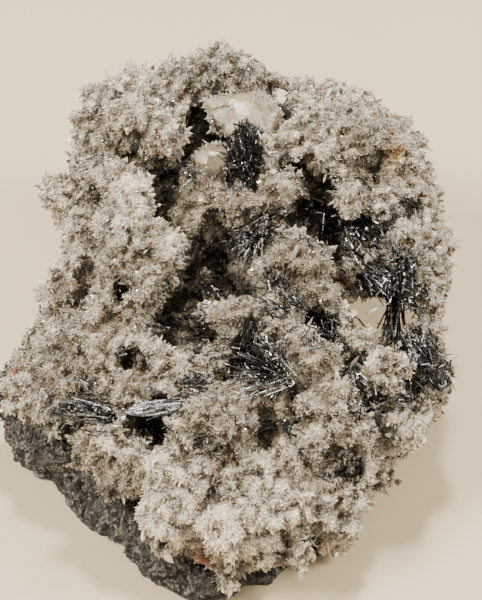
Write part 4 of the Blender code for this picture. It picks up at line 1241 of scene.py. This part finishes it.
def grow_loose_needles(looks, look):
    """Fine dark needles strewn over the crust's pits and dark places."""
    rng = np.random.default_rng(SEED + 3)
    surface = tree_of(GROUND.item.data, *(item.data for item in GROUND.calcites))
    patches = list(NEEDLE_PATCHES)
    for across, up, radius, strength in DARK_ZONES:
        count = min(int(DARK_ZONE_NEEDLES * radius**2 * strength), MOST_NEEDLES)
        patches.append((across, up, radius, count, SHORT_NEEDLE, rng.uniform(60, 200), 45))
    rows = []
    for across, up, radius, count, length, heading, turn in patches:
        for _ in range(count):
            reach = radius * math.sqrt(rng.uniform(0, 1))
            angle = rng.uniform(0, 2 * math.pi)
            line = sight_line(across + reach * math.cos(angle), up + reach * math.sin(angle))
            back = 180 if rng.uniform(0, 1) < 0.3 else 0
            course = heading + rng.normal(0, turn * 0.6) + back
            lean = rng.uniform(-6, 26)
            size = length * rng.uniform(0.4, 1.3)
            width = looks.needle_width / MM * rng.uniform(0.6, 1.9)
            hit = surface.ray_cast(EYE, line)
            if hit[0] is None or hit[0].z < LOWEST_NEEDLE:
                continue
            way = heading_axis(hit[1], course, lean)
            rows.append((hit[0] + hit[1] * 0.2 - way * 0.3 * size, way, size, width))
    clump = [[rng.normal(*value) for value in CLUMP] for _ in range(CLUMP_NEEDLES)]
    for across, up, end_across, end_up, height in BRIDGES + clump:
        line = (EYE, sight_line(across, up)), (EYE, sight_line(end_across, end_up))
        start, end = (eye + way * ((height - eye.z) / way.z) for eye, way in line)
        size = (end - start).length
        rows.append((start, (end - start) / size, size, rng.uniform(0.2, 0.45)))
    needles = pointed_prisms(*columns(rows), rng.uniform(0.4, 0.9, len(rows)), 3, rng,
                             (0.85, 0.97))
    dress(mesh_object("loose_needles", *needles), look)


def grow_calcite(node, look):
    """A waxy calcite crystal with flat cleavage faces and low steps."""
    item = copy_of(node, node + "_crystal")
    even_surface(item, CALCITE_GRID)
    corners = positions(item.data)
    normals = corner_normals(item.data)
    corners += normals * (0.22 * wave(corners, 3.2, 9.0) + 0.12)[:, None]
    middle = corners.mean(0)
    for facet, share, cross in CLEAVAGE:
        facet = np.array(Vector(facet).normalized())
        cross = np.array(Vector(cross).normalized())
        height = (corners - middle) @ facet
        along = corners @ cross + 0.8 * wave(corners, 6.0, 1.0)
        terrace = np.floor(along / TERRACE_WIDTH) % 3
        limit = np.quantile(height, share) - TERRACE_HEIGHT * terrace
        corners -= facet[None, :] * np.maximum(0, height - limit)[:, None]
    corners += normals * (0.03 * wave(corners, 0.6, 5.0))[:, None]
    place_corners(item.data, corners)
    item.data.shade_smooth()
    item.data.set_sharp_from_angle(angle=CALCITE_SHARP_ANGLE)
    dress(item, look)
    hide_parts(node)
    GROUND.calcites.append(item)
    return item


def grow_rim(item, look, rng):
    """Quartz crystals over the rim of a calcite crystal, where the druse reaches over it."""
    corners = positions(item.data)
    faces = triangles(item.data)
    normals = corner_normals(item.data)
    facing = normals[faces[:, 0]] @ -np.array(SIGHT)
    patch = wave(corners[faces[:, 0]], 3.0, 17.0)
    share = np.clip(1.15 - 2.3 * facing + 1.7 * patch, 0, 1)
    point, normal, _ = scatter(corners, faces, normals, RIM_GRAINS * share, rng)
    count = len(point)
    axis = unit(normal + unit(rng.normal(0, 1, point.shape)) * 0.7)
    size = np.exp(rng.normal(0, 0.35, count))
    grains = stubby_grains(point - axis * 0.1, axis, 0.62 * size,
                           0.42 * np.exp(rng.normal(0, 0.25, count)),
                           rng.uniform(0.6, 1.0, count), rng)
    dress(mesh_object(item.name + "_quartz", *grains), look)


def grow_rock(looks, look):
    """The host rock's broken surface, flat underneath, with loose crumbs grown into it."""
    item = copy_of("host_rock", "host_rock_surface")
    even_surface(item, looks.grid)
    relax(item, 2)
    corners = positions(item.data)
    normals = corner_normals(item.data)
    side = np.clip((normals[:, 2] + 0.75) / 0.3, 0, 1) * np.clip(corners[:, 2] / 1.2, 0, 1)
    rough = (wave(corners, 3.4) * 1.2 + np.abs(wave(corners, 2.4, 4.0)) * 2.4
             + np.abs(wave(corners, 1.2, 8.0)) * 1.2 - 0.9)
    push = looks.relief / MM * rough * side
    corners += normals * push[:, None]
    corners[:, 2] = np.maximum(corners[:, 2], 0.0)
    place_corners(item.data, corners)
    item.data.shade_flat()
    dress(item, look)
    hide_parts("host_rock")
    rng = np.random.default_rng(SEED + 5)
    faces = triangles(item.data)
    low = corners[faces].min(axis=1)[:, 2] > LOWEST_CRUMB
    seen = normals[faces[:, 0]] @ -np.array(SIGHT) > -0.1
    density = low / np.where(seen, *CRUMB_SPACING)**2
    point, normal, _ = scatter(corners, faces, corner_normals(item.data), density, rng)
    count = len(point)
    gap = np.array([GROUND.tree.find_nearest(place)[3] for place in point.tolist()])
    rim = np.clip(1 - (gap + 0.8 * wave(point, 1.5, 23.0)) / RIM_REACH, 0, 1)
    axis = unit(normal * 0.7 + unit(rng.normal(0, 1, (count, 3))))
    width = np.where(rng.uniform(0, 1, count) < SMALL_CRUMB_SHARE, *CRUMB_WIDTHS)
    width *= np.exp(rng.normal(0, 0.3, count)) * (1 + 0.2 * rim)
    length = width * rng.uniform(0.8, 1.7, count) * (1 + 0.3 * rim)
    crumbs = stubby_grains(point - axis * 0.08, axis, length, width,
                           rng.uniform(0.5, 1.0, count), rng)
    grains = mesh_object("host_rock_crumbs", *crumbs,
                         {"rim": np.repeat(rim, GRAIN_CORNERS),
                          "crumb": np.ones(GRAIN_CORNERS * count)})
    dress(grains, look)


def soft_light(name, where, power, size, colour):
    """A round light that shines on the specimen."""
    light = bpy.data.lights.new(name, "AREA")
    light.shape = "DISK"
    light.size = size
    light.energy = power
    light.color = colour
    item = new_object(name, light)
    item.location = where
    item.rotation_euler = (LIT_POINT - Vector(where)).to_track_quat("-Z", "Y").to_euler()


def set_stage(looks):
    """Floor, lights, room light and camera."""
    shape = bmesh.new()
    bmesh.ops.create_grid(shape, x_segments=8, y_segments=8, size=FLOOR_HALF_SIDE)
    mesh = bpy.data.meshes.new("floor")
    shape.to_mesh(mesh)
    shape.free()
    floor = new_object("floor", mesh)
    floor.data.materials.append(plain_floor(looks))
    for name, setting, where, size, colour in LIGHTS:
        soft_light(name, where, getattr(looks, setting), size, colour)
    world = bpy.data.worlds.new("room")
    bpy.context.scene.world = world
    world.use_nodes = True
    air = world.node_tree.nodes["Background"]
    air.inputs["Color"].default_value = ROOM_COLOUR
    air.inputs["Strength"].default_value = looks.air
    lens = bpy.data.cameras.new("camera")
    lens.lens = CAMERA_LENS
    lens.sensor_width = CAMERA_SENSOR
    lens.clip_start = CAMERA_CLIP
    camera = new_object("camera", lens)
    camera.location = EYE * MM
    camera.rotation_euler = (CAMERA_TILT, 0, 0)
    bpy.context.scene.camera = camera


# Operators


class SPECIMEN_OT_ground(bpy.types.Operator):
    """Rebuild the quartz crust's ground under its crystals"""

    bl_idname = "specimen.ground"
    bl_label = "Crust ground"

    def execute(self, context):
        looks = context.scene.specimen_druse
        item = grow_ground(looks)
        read_ground(item, np.random.default_rng(SEED))
        dress(item, quartz_ground(looks))
        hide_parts("quartz_crust")
        return {"FINISHED"}


class SPECIMEN_OT_druse(bpy.types.Operator):
    """Grow the fine quartz crystals over the crust"""

    bl_idname = "specimen.druse"
    bl_label = "Quartz druse"

    def execute(self, context):
        looks = context.scene.specimen_druse
        grow_druse(looks, quartz_crystals(looks))
        grow_large_crystals(clear_quartz())
        return {"FINISHED"}


class SPECIMEN_OT_rock(bpy.types.Operator):
    """Break up the host rock's surface"""

    bl_idname = "specimen.rock"
    bl_label = "Host rock"

    def execute(self, context):
        looks = context.scene.specimen_rock
        grow_rock(looks, rough_rock(looks))
        return {"FINISHED"}


class SPECIMEN_OT_stibnite(bpy.types.Operator):
    """Grow the stibnite sprays and the loose needles"""

    bl_idname = "specimen.stibnite"
    bl_label = "Stibnite"

    def execute(self, context):
        looks = context.scene.specimen_stibnite
        metals = {name: stibnite_metal(looks, name, shine) for name, shine in FINISHES.items()}
        on_needles = []
        for i, (name, (seen, blades, needles, grains, finish)) in enumerate(SPRAYS.items()):
            on_needles.append(grow_spray(name, seen, blades, needles, grains, looks,
                                         metals[finish], SEED + 20 + i))
        dress(mesh_object("quartz_on_needles", *joined(on_needles)), clear_quartz())
        grow_loose_needles(looks, metals["tarnished_stibnite"])
        return {"FINISHED"}


class SPECIMEN_OT_calcite(bpy.types.Operator):
    """Shape the calcite crystals"""

    bl_idname = "specimen.calcite"
    bl_label = "Calcite"

    def execute(self, context):
        look = waxy_calcite(context.scene.specimen_calcite)
        rim = clear_quartz()
        rng = np.random.default_rng(SEED + 8)
        for node in ("calcite_upper", "calcite_lower"):
            grow_rim(grow_calcite(node, look), rim, rng)
        return {"FINISHED"}


class SPECIMEN_OT_stage(bpy.types.Operator):
    """Set the floor, lights and camera"""

    bl_idname = "specimen.stage"
    bl_label = "Stage"

    def execute(self, context):
        set_stage(context.scene.specimen_stage)
        return {"FINISHED"}


class SPECIMEN_PT_panel(bpy.types.Panel):
    """Lists the specimen's pieces"""

    bl_idname = "SPECIMEN_PT_panel"
    bl_label = "Stibnite Specimen"
    bl_space_type = "VIEW_3D"
    bl_region_type = "UI"
    bl_category = "Specimen"

    def draw(self, context):
        layout = self.layout
        for label, group, operator in PANEL_ROWS:
            box = layout.box()
            box.label(text=label)
            settings = getattr(context.scene, group)
            for key in settings.__annotations__:
                box.prop(settings, key)
            box.operator(operator)


PANEL_ROWS = [
    ("Crust ground", "specimen_druse", "specimen.ground"),
    ("Quartz druse", "specimen_druse", "specimen.druse"),
    ("Host rock", "specimen_rock", "specimen.rock"),
    ("Calcite", "specimen_calcite", "specimen.calcite"),
    ("Stibnite", "specimen_stibnite", "specimen.stibnite"),
    ("Stage", "specimen_stage", "specimen.stage"),
]

GROUPS = {
    "specimen_druse": SpecimenDruse,
    "specimen_rock": SpecimenRock,
    "specimen_stibnite": SpecimenStibnite,
    "specimen_calcite": SpecimenCalcite,
    "specimen_stage": SpecimenStage,
}

CLASSES = [*GROUPS.values(), SPECIMEN_OT_ground, SPECIMEN_OT_druse, SPECIMEN_OT_rock,
           SPECIMEN_OT_stibnite, SPECIMEN_OT_calcite, SPECIMEN_OT_stage, SPECIMEN_PT_panel]


def register():
    for made in CLASSES:
        bpy.utils.register_class(made)
    for name, group in GROUPS.items():
        setattr(bpy.types.Scene, name, PointerProperty(type=group))


def unregister():
    for name in GROUPS:
        delattr(bpy.types.Scene, name)
    for made in reversed(CLASSES):
        bpy.utils.unregister_class(made)


def main():
    register()
    bpy.ops.specimen.stage()
    bpy.ops.specimen.ground()
    bpy.ops.specimen.druse()
    bpy.ops.specimen.rock()
    bpy.ops.specimen.calcite()
    bpy.ops.specimen.stibnite()


if __name__ == "__main__":
    main()
